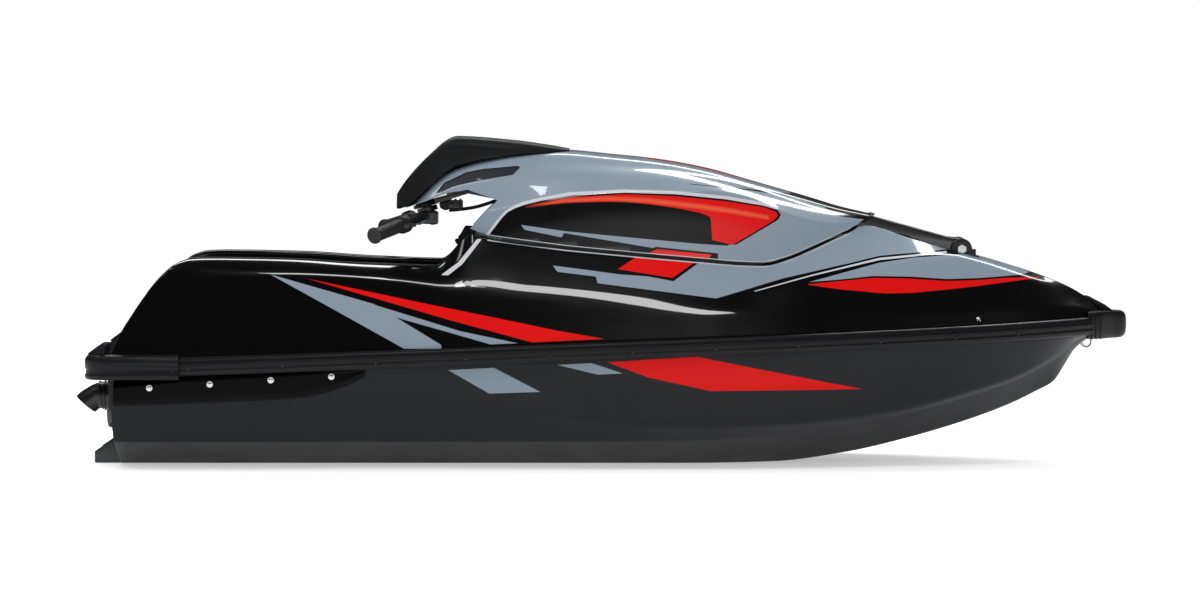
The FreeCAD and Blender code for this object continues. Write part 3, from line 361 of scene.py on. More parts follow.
def dressed(node, body, slot, material, bevel, segments=3):
    """Rounded copy of a CAD piece, whose loose triangles are joined first."""
    obj = copied(nodes[node], node + "_finished")
    obj.parent = None
    obj.hide_render = False
    obj.hide_viewport = False
    opened(obj)
    bpy.ops.mesh.remove_doubles(threshold=MERGE)
    bpy.ops.mesh.dissolve_limited(angle_limit=math.radians(1.0))
    bpy.ops.object.mode_set(mode="OBJECT")
    smooth(bevelled(obj, bevel, segments, 30), 35)
    return finished(obj, body, slot, material, node)


def laid(obj, start, direction=None):
    """Set a form at a point in millimetres, turned there from Z to a direction."""
    take(obj)
    if direction is not None:
        obj.rotation_euler = Vector(direction).to_track_quat("Z", "Y").to_euler()
    obj.location = Vector(start) * 0.001
    bpy.ops.object.transform_apply(location=True, rotation=True, scale=True)
    return obj


def turned(name, rows, start, direction, sides):
    """Lathe form of (distance along the axis, radius) rows, from a point in millimetres."""
    bpy.ops.object.select_all(action="DESELECT")
    bpy.ops.mesh.primitive_circle_add(
        vertices=sides, radius=rows[0][1] * 0.001, fill_type="NGON",
        location=(0, 0, rows[0][0] * 0.001),
    )
    obj = bpy.context.object
    obj.name = name
    bpy.ops.object.transform_apply(location=True, rotation=True, scale=True)
    opened(obj)
    for (z0, r0), (z1, r1) in zip(rows, rows[1:]):
        bpy.ops.mesh.extrude_region_move(
            TRANSFORM_OT_translate={"value": (0, 0, (z1 - z0) * 0.001)}
        )
        bpy.ops.transform.resize(value=(r1 / r0, r1 / r0, 1))
    return laid(faced(obj), start, direction)


def scattered(name, rows, places, direction, sides):
    """The same lathe form at several places."""
    return [turned(name, rows, place, direction, sides) for place in places]


def bent_line(points, reach):
    """Bent bar's centreline through points in millimetres, bent over a reach at each corner."""
    points = [Vector(point) for point in points]
    line = [points[0]]
    for before, here, after in zip(points, points[1:], points[2:]):
        start = here + (before - here).normalized() * reach
        end = here + (after - here).normalized() * reach
        for step in range(9):
            t = step / 8
            line.append(start * (1 - t) ** 2 + here * 2 * t * (1 - t) + end * t ** 2)
    line.append(points[-1])
    return line


def tube(name, points, rings, sides, across=(0, 1, 0)):
    """Round form along a path, with rings of (distance along it, radius) in millimetres."""
    points = [Vector(point) for point in points]
    turns = [2 * math.pi * step / sides for step in range(sides)]
    lengths = [0.0]
    for a, b in zip(points, points[1:]):
        lengths.append(lengths[-1] + (b - a).length)
    sections = []
    for distance, radius in rings:
        index = max(i for i in range(len(points) - 1) if lengths[i] <= max(distance, 0))
        run = points[index + 1] - points[index]
        centre = points[index] + run.normalized() * (distance - lengths[index])
        before = points[index] - points[max(index - 1, 0)] if index else run
        share = (distance - lengths[index]) / run.length
        tangent = (before.normalized() * (1 - share) + run.normalized() * (1 + share)).normalized()
        up = tangent.cross(Vector(across)).normalized()
        side = up.cross(tangent)
        sections.append([
            centre + (side * math.cos(turn) + up * math.sin(turn)) * radius for turn in turns
        ])
    return skin(name, sections)


def joined(name, *pieces):
    """Several meshes made one object."""
    take(pieces[0])
    for piece in pieces[1:]:
        piece.select_set(True)
    bpy.ops.object.join()
    pieces[0].name = name
    return pieces[0]


def pair(obj, twin_name, body, slot, material, *replaced):
    """Finish a piece and its mirrored twin, each in place of its CAD piece."""
    twin = copied(obj, twin_name)
    for vertex in twin.data.vertices:
        vertex.co.y = -vertex.co.y
    faced(opened(twin))
    finished(obj, body, slot, material, *replaced[:1])
    finished(twin, body, slot, material, *replaced[1:])


def even(obj, degrees):
    """Smooth shading between edges up to an angle, with the flats kept flat."""
    smooth(obj, degrees)
    return apply_modifier(obj, "WEIGHTED_NORMAL", mode="FACE_AREA", weight=60, keep_sharp=True)


def bond_point(x, out, up):
    """Point off the port bond line, square to it in plan, in millimetres."""
    slope = (half_beam(x + 2) - half_beam(x - 2)) / 4
    length = math.hypot(slope, 1.0)
    return Vector((x - slope / length * out, half_beam(x) + out / length, bond_z(x) + up))


# Camera, lights and floor

camera_data = bpy.data.cameras.new("studio_camera")
camera_data.lens = 145.35
camera_data.sensor_width = 36.0
camera_data.clip_end = 100.0
camera = bpy.data.objects.new("studio_camera", camera_data)
bpy.context.scene.collection.objects.link(camera)
camera.location = (-0.0137, -12.5, 1.058)
camera.rotation_euler = (math.radians(90.0 - 2.952), 0.0, 0.0)
bpy.context.scene.camera = camera
bpy.context.scene.view_settings.view_transform = "Standard"

# Control cable, from the steering column into the notch of the cover
CABLE = [
    (-0.402, -0.024, 0.646), (-0.350, -0.030, 0.650), (-0.300, -0.034, 0.664),
    (-0.270, -0.036, 0.676),
]
cable_curve = bpy.data.curves.new("control_cable_run", "CURVE")
cable_curve.dimensions = "3D"
cable_curve.bevel_depth = 0.0045
cable_curve.bevel_resolution = 8
cable_curve.use_fill_caps = True
cable_curve.resolution_u = 24
spline = cable_curve.splines.new("NURBS")
spline.points.add(len(CABLE) - 1)
for point, place in zip(spline.points, CABLE):
    point.co = (*place, 1)
spline.order_u = 3
spline.use_endpoint_u = True
cable = bpy.data.objects.new("control_cable_run", cable_curve)
bpy.context.scene.collection.objects.link(cable)


def add(tree, kind, links=(), **values):
    """Node with its properties set, its inputs filled and its links made."""
    node = tree.nodes.new(kind)
    for key, value in values.items():
        setattr(node, key, value)
    for key, source in links:
        if isinstance(source, (int, float, tuple)):
            node.inputs[key].default_value = source
        else:
            tree.links.new(source, node.inputs[key])
    return node


def calculate(tree, operation, *values, clamp=False):
    """Result of a math node."""
    return add(
        tree, "ShaderNodeMath", enumerate(values), operation=operation, use_clamp=clamp
    ).outputs[0]


def strip_light(name, start, end, width, power, shape="RECTANGLE"):
    """Long narrow lamp from start to end, turned to face the middle of the craft."""
    start = Vector(start)
    end = Vector(end)
    middle = (start + end) / 2
    along = (end - start).normalized()
    back = middle - Vector((middle.x, 0, 0.45))
    back = (back - along * back.dot(along)).normalized()
    data = bpy.data.lights.new(name, "AREA")
    data.shape = shape
    data.size = (end - start).length
    data.size_y = width
    data.energy = power
    obj = bpy.data.objects.new(name, data)
    bpy.context.scene.collection.objects.link(obj)
    obj.location = middle
    obj.rotation_euler = Matrix((along, back.cross(along), back)).transposed().to_euler()


strip_light("strip_middle", (-1.05, -2.30, 3.65), (-0.25, -2.10, 3.68), 0.50, 19)
strip_light("strip_bow", (-0.50, -2.50, 3.68), (0.60, -1.20, 3.90), 0.24, 13.5, "ELLIPSE")
strip_light("strip_tail", (-3.10, -0.75, 2.6), (-1.75, -0.70, 3.8), 0.45, 12)
strip_light("strip_crown", (-2.50, 2.45, 3.7), (3.20, 2.45, 3.7), 1.10, 160)

world = bpy.data.worlds.new("studio")
bpy.context.scene.world = world
world.use_nodes = True
tree = world.node_tree
tree.nodes.clear()
rays = add(tree, "ShaderNodeLightPath").outputs
place = add(tree, "ShaderNodeTexCoord")
parts = add(tree, "ShaderNodeSeparateXYZ", [(0, place.outputs["Generated"])]).outputs
beyond = calculate(tree, "MAXIMUM", parts["Y"], 0.0)
level = calculate(tree, "MULTIPLY_ADD", beyond, 0.15, parts["Z"])
height = add(tree, "ShaderNodeMapRange", [
    ("Value", level), ("From Min", 0.04), ("From Max", 0.20), ("To Min", 0.80), ("To Max", 0.035),
]).outputs["Result"]
reflected = add(tree, "ShaderNodeMix", [
    ("Factor", rays["Is Glossy Ray"]), ("A", 0.68), ("B", height),
]).outputs["Result"]
direct = calculate(tree, "MAXIMUM", rays["Is Camera Ray"], rays["Is Transmission Ray"])
seen = add(tree, "ShaderNodeMix", [
    ("Factor", direct), ("A", reflected), ("B", 1.0),
]).outputs["Result"]
sky = add(tree, "ShaderNodeBackground", [("Color", (1, 1, 1, 1)), ("Strength", seen)])
add(tree, "ShaderNodeOutputWorld", [("Surface", sky.outputs[0])])

bpy.ops.mesh.primitive_plane_add(size=60, location=(0, 0, 0))
floor = bpy.context.object
floor.name = "studio_floor"
paper = bpy.data.materials.new("white_paper")
paper.use_nodes = True
tree = paper.node_tree
shader = tree.nodes["Principled BSDF"]
for key, value in [
    ("Base Color", (0.93, 0.93, 0.93, 1)), ("Roughness", 0.9), ("Specular IOR Level", 0.1),
    ("Emission Color", (1, 1, 1, 1)),
]:
    shader.inputs[key].default_value = value
rays = add(tree, "ShaderNodeLightPath").outputs
clear = calculate(tree, "MAXIMUM", rays["Is Glossy Ray"], rays["Is Transmission Ray"])
direct = calculate(tree, "MAXIMUM", rays["Is Camera Ray"], clear)
lift = calculate(tree, "MULTIPLY", direct, 0.43)
tree.links.new(lift, shader.inputs["Emission Strength"])
floor.data.materials.append(paper)


# Materials

FLOAT = "NodeSocketFloat"
VECTOR = "NodeSocketVector"


def group(name, inputs, outputs):
    """Empty node group with named inputs and outputs."""
    made = bpy.data.node_groups.new(name, "ShaderNodeTree")
    for label, kind, value in inputs:
        socket = made.interface.new_socket(label, in_out="INPUT", socket_type=kind)
        if value is not None:
            socket.default_value = value
    for label, kind in outputs:
        made.interface.new_socket(label, in_out="OUTPUT", socket_type=kind)
    entry = made.nodes.new("NodeGroupInput")
    leave = made.nodes.new("NodeGroupOutput")
    return made, entry, leave


def step_up(tree, high, low, sharpness):
    """One where high is above low, nought where it is below."""
    gap = calculate(tree, "SUBTRACT", high, low)
    return calculate(tree, "MULTIPLY", gap, sharpness, clamp=True)


# Fine pebbled grain of moulded rubber and plastic, with soft mottling of the colour
grain, entry, leave = group(
    "moulded_grain",
    [("Place", VECTOR, None), ("Scale", FLOAT, 900.0), ("Mottle Scale", FLOAT, MOTTLE)],
    [("Height", FLOAT), ("Mottle", FLOAT)],
)
fine = add(grain, "ShaderNodeTexNoise", [
    ("Vector", entry.outputs["Place"]), ("Scale", entry.outputs["Scale"]), ("Detail", 3.0),
])
broad = add(grain, "ShaderNodeTexNoise", [
    ("Vector", entry.outputs["Place"]), ("Scale", entry.outputs["Mottle Scale"]), ("Detail", 5.0),
])
grain.links.new(fine.outputs["Fac"], leave.inputs["Height"])
grain.links.new(broad.outputs["Fac"], leave.inputs["Mottle"])

# Faint hairline scratches and dust that every handled finish has
wear, entry, leave = group(
    "handling_wear",
    [("Place", VECTOR, None), ("Roughness", FLOAT, 0.2), ("Spread", FLOAT, 0.05)],
    [("Roughness", FLOAT)],
)
stretched = add(wear, "ShaderNodeMapping", [
    ("Vector", entry.outputs["Place"]), ("Rotation", (0.3, 0.2, 0.5)), ("Scale", (3.0, 60.0, 40.0)),
])
streaks = add(wear, "ShaderNodeTexNoise", [
    ("Vector", stretched.outputs[0]), ("Scale", 4.0), ("Detail", 6.0),
])
dust = add(wear, "ShaderNodeTexNoise", [
    ("Vector", entry.outputs["Place"]), ("Scale", 9.0), ("Detail", 7.0),
])
both = calculate(wear, "MULTIPLY", streaks.outputs["Fac"], dust.outputs["Fac"])
amount = add(wear, "ShaderNodeMapRange", [
    ("Value", both), ("From Min", 0.15), ("From Max", 0.40), ("To Min", -1.0), ("To Max", 1.0),
])
swing = calculate(wear, "MULTIPLY", amount.outputs["Result"], entry.outputs["Spread"])
total = calculate(wear, "ADD", swing, entry.outputs["Roughness"])
wear.links.new(total, leave.inputs["Roughness"])

# Mask between an upper and a lower line, with crisp edges
between, entry, leave = group(
    "between_lines",
    [("Along", FLOAT, 0.0), ("Height", FLOAT, 0.0), ("Upper", FLOAT, 1.0), ("Lower", FLOAT, 0.0),
     ("Sharpness", FLOAT, CRISP)],
    [("Mask", FLOAT)],
)
sharp = entry.outputs["Sharpness"]
below = step_up(between, entry.outputs["Upper"], entry.outputs["Height"], sharp)
above = step_up(between, entry.outputs["Height"], entry.outputs["Lower"], sharp)
begun = step_up(between, entry.outputs["Along"], 0.0, sharp)
ahead = step_up(between, 1.0, entry.outputs["Along"], sharp)
lines = calculate(between, "MULTIPLY", below, above)
ends = calculate(between, "MULTIPLY", begun, ahead)
between.links.new(calculate(between, "MULTIPLY", lines, ends), leave.inputs["Mask"])


def textured(
    name, colour, roughness, scale, depth, spread=0.06, tint=0.25, strength=0.35, metallic=0.0,
    coat=0.0, specular=0.5,
):
    """Moulded finish: grain in the relief, mottling in the colour and wear in the roughness."""
    made = bpy.data.materials.new(name)
    made.use_nodes = True
    tree = made.node_tree
    shader = tree.nodes["Principled BSDF"]
    for key, value in [
        ("Base Color", (*colour, 1)), ("Roughness", roughness), ("Metallic", metallic),
        ("Coat Weight", coat), ("Coat Roughness", 0.03), ("Specular IOR Level", specular),
    ]:
        shader.inputs[key].default_value = value
    place = add(tree, "ShaderNodeTexCoord").outputs["Object"]
    relief = add(tree, "ShaderNodeGroup", [
        ("Place", place), ("Scale", scale), ("Mottle Scale", MOTTLE),
    ], node_tree=grain)
    shade = add(tree, "ShaderNodeMix", [
        ("Factor", relief.outputs["Mottle"]),
        ("A", (*[channel * (1 - tint) for channel in colour], 1)),
        ("B", (*[channel * (1 + tint) for channel in colour], 1)),
    ], data_type="RGBA")
    rub = add(tree, "ShaderNodeGroup", [
        ("Place", place), ("Roughness", roughness), ("Spread", spread),
    ], node_tree=wear)
    bump = add(tree, "ShaderNodeBump", [
        ("Height", relief.outputs["Height"]), ("Strength", strength), ("Distance", depth),
    ])
    tree.links.new(shade.outputs["Result"], shader.inputs["Base Color"])
    tree.links.new(rub.outputs["Roughness"], shader.inputs["Roughness"])
    tree.links.new(bump.outputs["Normal"], shader.inputs["Normal"])
    return made


def decorated(made, shapes):
    """Lay painted shapes over a finish. Each has a colour, an upper and a lower line in
    millimetres, and the half-width that it starts at, or None where it is drawn from above
    and its lines are half-widths. A last number sets how sharp its edge is."""
    tree = made.node_tree
    shader = tree.nodes["Principled BSDF"]
    place = add(tree, "ShaderNodeTexCoord")
    parts = add(tree, "ShaderNodeSeparateXYZ", [(0, place.outputs["Object"])])
    side = calculate(tree, "ABSOLUTE", parts.outputs["Y"], 0.0)
    colour = shader.inputs["Base Color"].links[0].from_socket
    for paint, upper, lower, inner, *sharpness in shapes:
        first = min(upper[0][0], lower[0][0]) * 0.001
        last = max(upper[-1][0], lower[-1][0]) * 0.001
        along = add(tree, "ShaderNodeMapRange", [
            ("Value", parts.outputs["X"]), ("From Min", first), ("From Max", last),
        ], clamp=False).outputs["Result"]
        heights = []
        for line in (upper, lower):
            node = add(tree, "ShaderNodeFloatCurve", [("Value", along)])
            curve = node.mapping.curves[0]
            rows = [((x * 0.001 - first) / (last - first), level * 0.001) for x, level in line]
            curve.points[0].location = rows[0]
            curve.points[-1].location = rows[-1]
            for share, level in rows[1:-1]:
                curve.points.new(share, level)
            for point in curve.points:
                point.handle_type = "VECTOR"
            node.mapping.extend = "HORIZONTAL"
            node.mapping.update()
            heights.append(node.outputs[0])
        mask = add(tree, "ShaderNodeGroup", [
            ("Along", along), ("Height", side if inner is None else parts.outputs["Z"]),
            ("Upper", heights[0]), ("Lower", heights[1]),
            *[("Sharpness", value) for value in sharpness],
        ], node_tree=between)
        keep = mask.outputs["Mask"]
        if inner:
            keep = calculate(tree, "MULTIPLY", keep, step_up(tree, side, inner * 0.001, CRISP))
        mix = add(tree, "ShaderNodeMix", [("Factor", keep)], data_type="RGBA")
        tree.links.new(colour, mix.inputs["A"])
        mix.inputs["B"].default_value = (*paint, 1)
        colour = mix.outputs["Result"]
    tree.links.new(colour, shader.inputs["Base Color"])
    return made


GREY = (0.262, 0.320, 0.380)
RED = (0.760, 0.0055, 0.0045)
BLACK = (0.0018, 0.0018, 0.0020)
# Light grey painted highlight, standing in for the reflections on creases and edges
PAINTED_HIGHLIGHT = (0.62, 0.64, 0.68)
# Orange painted sheen: a reflection painted along the top of the red panel
PAINTED_SHEEN = (0.88, 0.120, 0.050)
# Dark grey painted shade inside the tail's recess
PAINTED_SHADE = (0.030, 0.032, 0.038)
# Light grey painted highlight along both edges of the seam between cover and deck
PAINTED_SEAM_HIGHLIGHT = (0.50, 0.52, 0.55)
DECK_EDGE = [(x, z - SEAM_GAP / 2) for x, _, z in SEAM if -320 < x < 640]
COVER_EDGE = [(x, z + SEAM_GAP / 2) for x, _, z in SEAM if -320 < x < 640]

DECK_SHAPES = [
    (GREY, [(-847, 495), (-582, 420), (-412, 319)], [(-847, 495), (-505, 309)], 212),
    (GREY, [(-667, 444), (-577, 417), (-365, 353), (-217, 323)],
     [(-667, 444), (-576, 400), (-288, 320), (-217, 323)], 212),
    (RED, [(-759, 485), (-433, 417), (-247, 380), (-114, 353), (0, 334)],
     [(-759, 485), (-393, 380), (-184, 325), (0, 334)], 212),
    (GREY, [(-133, 514), (-40, 502), (34, 492), (170, 482), (228, 518), (242, 900), (985, 900)],
     [(-133, 514), (-122, 498), (-24, 486), (-22, 470), (279, 432), (309, 440), (452, 481),
      (596, 512), (741, 538), (877, 546), (985, 532)], 82),
    (BLACK, [(16, 503), (72, 543), (242, 524)], [(16, 503), (172, 474), (242, 522)], 82),
    (RED, [(31, 504), (79, 535), (225, 519)], [(31, 504), (170, 482), (225, 519)], 82),
    (BLACK, [(370, 456), (523, 495), (698, 535), (877, 549), (960, 545)],
     [(370, 440), (523, 466), (698, 470), (960, 470)], 82),
    (GREY, [(512, 471), (697, 518), (784, 530), (886, 536), (951, 538), (1009, 525), (1072, 500),
            (1097, 489)],
     [(512, 471), (594, 477), (681, 485), (774, 483), (868, 476), (957, 477), (1069, 483),
      (1097, 489)], 44),
    (RED, [(512, 467), (594, 474), (681, 481), (767, 479), (868, 472), (956, 473), (1031, 477),
           (1120, 476)],
     [(512, 465), (594, 453), (708, 442), (780, 443), (881, 451), (955, 458), (1030, 466),
      (1120, 475)], 20),
    # Painted highlight along the nose's upper crease
    (PAINTED_HIGHLIGHT, [(377, 451), (523, 490), (698, 530), (874, 545)],
     [(377, 448), (523, 486), (698, 524), (874, 540)], 82),
    # Painted highlight on the outer corner of the bulkhead
    (PAINTED_HIGHLIGHT, [(-413, 493), (-373, 522), (-325, 580)], [(-397, 490), (-362, 517), (-315, 577)],
     206),
    # Painted highlight along the deck's edge at the seam
    (PAINTED_SEAM_HIGHLIGHT, DECK_EDGE, [(x, z - 4.0) for x, z in DECK_EDGE], 60),
]
HULL_SHAPES = [
    (GREY, [(-396, 256), (-280, 262), (-162, 200)], [(-396, 256), (-292, 196), (-162, 200)], 200),
    (GREY, [(-123, 269), (-35, 274), (45, 247)], [(-123, 269), (-20, 244), (45, 247)], 200),
    (RED, [(3, 276), (229, 290), (650, 204)], [(3, 276), (110, 236), (264, 202), (650, 204)], 200),
]
COVER_SHAPES = [
    # Painted highlight along the shelf above the side panel
    (PAINTED_HIGHLIGHT, [(-328, 560), (-272, 631), (-256, 649), (-234, 663), (-210, 673), (-165, 684),
              (-90, 698), (47, 705), (180, 701), (308, 688), (407, 671), (442, 661)],
     [(-328, 540), (-262, 560), (0, 600), (300, 600), (400, 640), (442, 655)], 0),
    (BLACK, [(-318, 560), (-265, 630), (-250, 646), (-230, 657), (-205, 666), (-165, 676),
             (-82, 690), (47, 697), (177, 693), (306, 680), (404, 663), (437, 653), (447, 640)],
     [(-318, 560), (-300, 540), (277, 539), (313, 564), (332, 564), (440, 627), (447, 640)], 0),
    (GREY, [(-215, 615), (-101, 599), (88, 581), (240, 567), (316, 562)],
     [(-215, 615), (-205, 602), (-105, 594), (-111, 583), (122, 556), (277, 539), (316, 562)], 0),
    (BLACK, [(98, 547), (128, 560), (286, 543)], [(98, 547), (100, 520), (286, 520)], 0),
    (RED, [(109, 543), (131, 554), (270, 540)], [(109, 543), (254, 520), (270, 539)], 0),
    (RED, [(-205, 662), (-82, 685), (47, 693), (177, 688), (306, 675), (404, 659), (434, 648),
           (440, 637)],
     [(-205, 662), (-82, 672), (47, 674), (112, 667), (177, 658), (242, 645), (268, 634),
      (271, 576), (323, 564), (427, 624), (440, 637)], 0),
    # Painted sheen along the top of the red panel, soft-edged
    (PAINTED_SHEEN, [(-205, 662), (-110, 684), (0, 690), (106, 686), (215, 674), (323, 659), (418, 640)],
     [(-205, 656), (-110, 668), (0, 673), (106, 668), (215, 655), (323, 640), (418, 624)], 0,
     SOFT),
    # Painted shade in the tail's recess, over the cut relief
    (PAINTED_SHADE, [(-432, 694), (-413, 719), (-357, 746), (-311, 755), (-223, 763), (-217, 759)],
     [(-432, 693), (-422, 693), (-389, 709), (-311, 727), (-236, 740), (-217, 759)], 70),
    # Painted highlight along the cover's edge at the seam
    (PAINTED_SEAM_HIGHLIGHT, [(x, z + 2.6) for x, z in COVER_EDGE], COVER_EDGE, 100),
    (BLACK, [(215, 719), (373, 704), (474, 691), (560, 800), (760, 800)],
     [(215, 717), (373, 700), (486, 680), (559, 657), (600, 633), (658, 625), (760, 622)], 0),
    (RED, [(48, 4), (130, 56), (300, 60), (389, 34)], [(48, 0), (389, 0)], None),
]

hull_satin = decorated(textured(
    "hull_satin", (0.0150, 0.0158, 0.0185), 0.46, 420, 0.0002, tint=0.12, specular=0.16
), HULL_SHAPES)
deck_paint = decorated(textured(
    "deck_gel_coat", BLACK, 0.22, 160, 0.00002, spread=0.03, tint=0.1, coat=0.9, specular=0.06
), DECK_SHAPES)
cover_paint = decorated(textured(
    "cover_paint", GREY, 0.30, 160, 0.00002, spread=0.03, tint=0.03, coat=0.9, specular=0.15
), COVER_SHAPES)
rubber = textured("rubber_trim", (0.0078, 0.0080, 0.0092), 0.42, 800, 0.0003, specular=0.19)
foam = textured(
    "foam_skin", (0.0075, 0.0078, 0.0088), 0.50, 1300, 0.0003, strength=0.5, specular=0.15
)
tray_rubber = textured("tray_rubber", (0.026, 0.026, 0.028), 0.50, 600, 0.0005, strength=0.6)
black_plastic = textured("black_plastic", (0.012, 0.012, 0.013), 0.36, 1100, 0.0002)
black_gloss = textured(
    "black_gloss", BLACK, 0.20, 200, 0.00002, spread=0.03, tint=0.1, coat=0.06, specular=0.05
)
hood_black = textured("hood_black", (0.010, 0.010, 0.011), 0.35, 900, 0.0002)
black_metal = textured("black_metal", (0.014, 0.014, 0.015), 0.34, 1300, 0.0001, metallic=0.2)
arm_black = textured(
    "arm_paint", (0.0045, 0.0045, 0.0050), 0.16, 300, 0.00003, spread=0.04, tint=0.1, coat=0.8
)
grip_rubber = textured("grip_rubber", (0.012, 0.012, 0.013), 0.50, 1500, 0.0002, specular=0.35)
clamp_grey = textured(
    "clamp_paint", (0.050, 0.052, 0.056), 0.32, 900, 0.0001, tint=0.12, metallic=0.7
)
dark_alloy = textured(
    "painted_alloy", (0.055, 0.058, 0.060), 0.38, 520, 0.0003, tint=0.15, metallic=0.6, strength=0.5
)
alloy = textured(
    "cast_alloy", (0.42, 0.43, 0.44), 0.40, 420, 0.0004, tint=0.10, metallic=1.0, strength=0.5
)
steel = textured(
    "polished_steel", (0.62, 0.62, 0.63), 0.20, 900, 0.00003, tint=0.05, metallic=1.0
)


# Pieces

def lowered(side, limit):
    """A side line that rises, cut off level at a height but with as many corners."""
    kept = [corner for corner in side if corner[1] < limit]
    if len(kept) == len(side):
        return side
    last = kept[-1]
    above = side[len(kept)]
    share = (limit - last[1]) / (above[1] - last[1])
    top = (last[0] + (above[0] - last[0]) * share, limit)
    missing = len(side) - len(kept)
    for step in range(1, missing + 1):
        part = step / missing
        kept.append((
            last[0] + (top[0] - last[0]) * part, last[1] + (top[1] - last[1]) * part,
            side[-1][2] if step == missing else 1.0,
        ))
    return kept


def hull_outline(x):
    """Half section of the hull from the keel up to the bond line."""
    keel, chine, chine_z, knuckle, knuckle_z = (fair(HULL_LINES, x, c) for c in range(1, 6))
    edge = half_beam(x)
    top = bond_z(x)
    return [
        (0, keel, 0), (min(KEEL_PAD_HALF, edge * chine * 0.4), keel, 10),
        (edge * chine, chine_z, 9), (edge * knuckle, knuckle_z, 16),
        (edge, top - BOND_BAND, 8), (edge, top, 0), (0, top, 0),
    ]


def deck_outline(x):
    """Half section of the deck, with the tray's wall or the channel's wall where it has one."""
    crease, crease_z, upper, upper_z, top_z = (fair(DECK_LINES, x, c) for c in range(1, 6))
    if x < SEAM[0][0]:
        top_y = TRAY_HALF + fair(GUNWALE_TOP, x)
    elif x <= SEAM[-1][0]:
        top_y = fair(SEAM, x, 1)
        top_z = fair(SEAM, x, 2) - SEAM_GAP / 2
    else:
        top_y = fair(NOSE_TOP, x)
    edge = half_beam(x)
    low = bond_z(x)
    crease_y = edge * crease
    upper_y = top_y + (crease_y - top_y) * upper
    soft = 12 + 14 * min(max((420 - x) / 300, 0), 1)
    side = [
        (edge, low + BOND_BAND, 4), (crease_y, crease_z, soft), (upper_y, upper_z, soft + 6),
        (top_y, top_z, 5 + 10 * min(max((-345 - x) / 50, 0), 1)),
    ]
    side = lowered(side, max(fair(STERN_TOP, x), low + BOND_BAND + 2))
    if CHANNEL_AFT < x < CHANNEL_FORE and side[-1][0] < CHANNEL_HALF + 2:
        a, b = side[-2], side[-1]
        share = (a[0] - CHANNEL_HALF - 2) / (a[0] - b[0])
        side[-1] = (CHANNEL_HALF + 2, a[1] + (b[1] - a[1]) * share, 3)
    top_y, top_z = side[-1][:2]
    if x <= TRAY_FORE:
        floor_z = min(straight(TRAY_FLOOR, x), top_z)
        inner = [(TRAY_HALF, top_z, 9), (TRAY_HALF - 3, floor_z, 16), (0, floor_z, 0)]
    elif CHANNEL_AFT < x < CHANNEL_FORE:
        floor_z = min(straight(CHANNEL_FLOOR, x), top_z)
        inner = [(CHANNEL_HALF, top_z, 4), (CHANNEL_HALF, floor_z, 6), (0, floor_z, 0)]
    else:
        inner = [(top_y * 0.8, top_z, 2), (top_y * 0.6, top_z, 2), (0, top_z, 0)]
    return [(0, low, 0), (edge, low, 0)] + side + inner


def cover_outline(x, inset=0.0):
    """Half section of the pole cover, or of a form inside it by an inset."""
    foot_y, shelf_y, shelf_z, step, shoulder_y, shoulder_z, top = (
        easy(COVER_LINES, x, c) for c in range(1, 8)
    )
    foot_z = COVER_FOOT_Z - inset * 20
    y0, y1, y2 = foot_y - inset, shelf_y - inset, shelf_y - step - inset
    z1, z2 = shelf_z, shelf_z + step
    y3, z3, z4 = shoulder_y - inset * 0.7, shoulder_z - inset * 0.7, top - inset
    return [
        (0, foot_z, 0),
        (y0, foot_z, 0),
        (y1 + (y0 - y1) * 0.55 + 2, z1 + (foot_z - z1) * 0.62, 40),
        (y1 + (y0 - y1) * 0.22 + 3, z1 + (foot_z - z1) * 0.26, 40),
        (y1, z1, 5),
        (y2, z2, 4),
        (y2 + (y3 - y2) * 0.42, z2 + (z3 - z2) * 0.56, 30),
        (y3 + (y2 - y3) * 0.09, z3 - (z3 - z2) * 0.12, 16),
        (y3 * 0.90, z3 + (z4 - z3) * 0.45, 16),
        (y3 * 0.52, z3 + (z4 - z3) * 0.87, 30),
        (0, z4, 0),
    ]


# Hull bottom, with the bays for the pump and the engine
hull_x = stations(-1265, 1000, 24) + stations(1000, BOW_END_X, 12)[1:]
hull = hull_loft("hull_skin", hull_outline, hull_x)
opened(hull)
slope = (TRANSOM_TOP[0] - TRANSOM_FOOT[0]) / (TRANSOM_TOP[1] - TRANSOM_FOOT[1])
bpy.ops.mesh.bisect(
    plane_co=(TRANSOM_FOOT[0] * 0.001, 0, 0), plane_no=(-1, 0, slope), use_fill=True,
    clear_outer=True,
)
bpy.ops.object.mode_set(mode="OBJECT")
cut_with(hull, square("pump_bay", -1400, -950, -20, 236, PUMP_BAY_HALF))
cut_with(hull, prism("duct", [
    (-1000, 58), (-820, 58), (-752, -20), (-415, -20), (-430, 20), (-560, 110), (-700, 175),
    (-820, 206), (-1000, 206),
], DUCT_HALF))
cut_with(hull, square("engine_bay", *ENGINE_BAY_X, 78, 420, ENGINE_BAY_HALF))
bevelled(hull, 0.003, 2, 50)
even(hull, 30)
finished(hull, "hull", "hull_satin", hull_satin, "hull_bottom")

# Deck, with the rider's tray, the bulkhead and the channel for the pole
deck_x = stations(-1250, -1040, 7) + stations(-1040, -440, 20)[1:]
deck_x += stations(-440, TRAY_FORE, 6)[1:] + stations(TRAY_FORE + 1, CHANNEL_AFT, 20)
deck_x += stations(CHANNEL_AFT + 1, 900, 15) + stations(900, CHANNEL_FORE - 2, 8)[1:]
deck_x += [CHANNEL_FORE - 0.1, CHANNEL_FORE + 0.5] + stations(CHANNEL_FORE + 2, BOW_END_X, 11)
deck = hull_loft("deck_skin", deck_outline, deck_x)
cut_with(deck, square("engine_bay", *ENGINE_BAY_X, 250, 720, ENGINE_BAY_HALF))
even(deck, 36)
finished(deck, "hull", "deck_gloss", deck_paint, "deck")

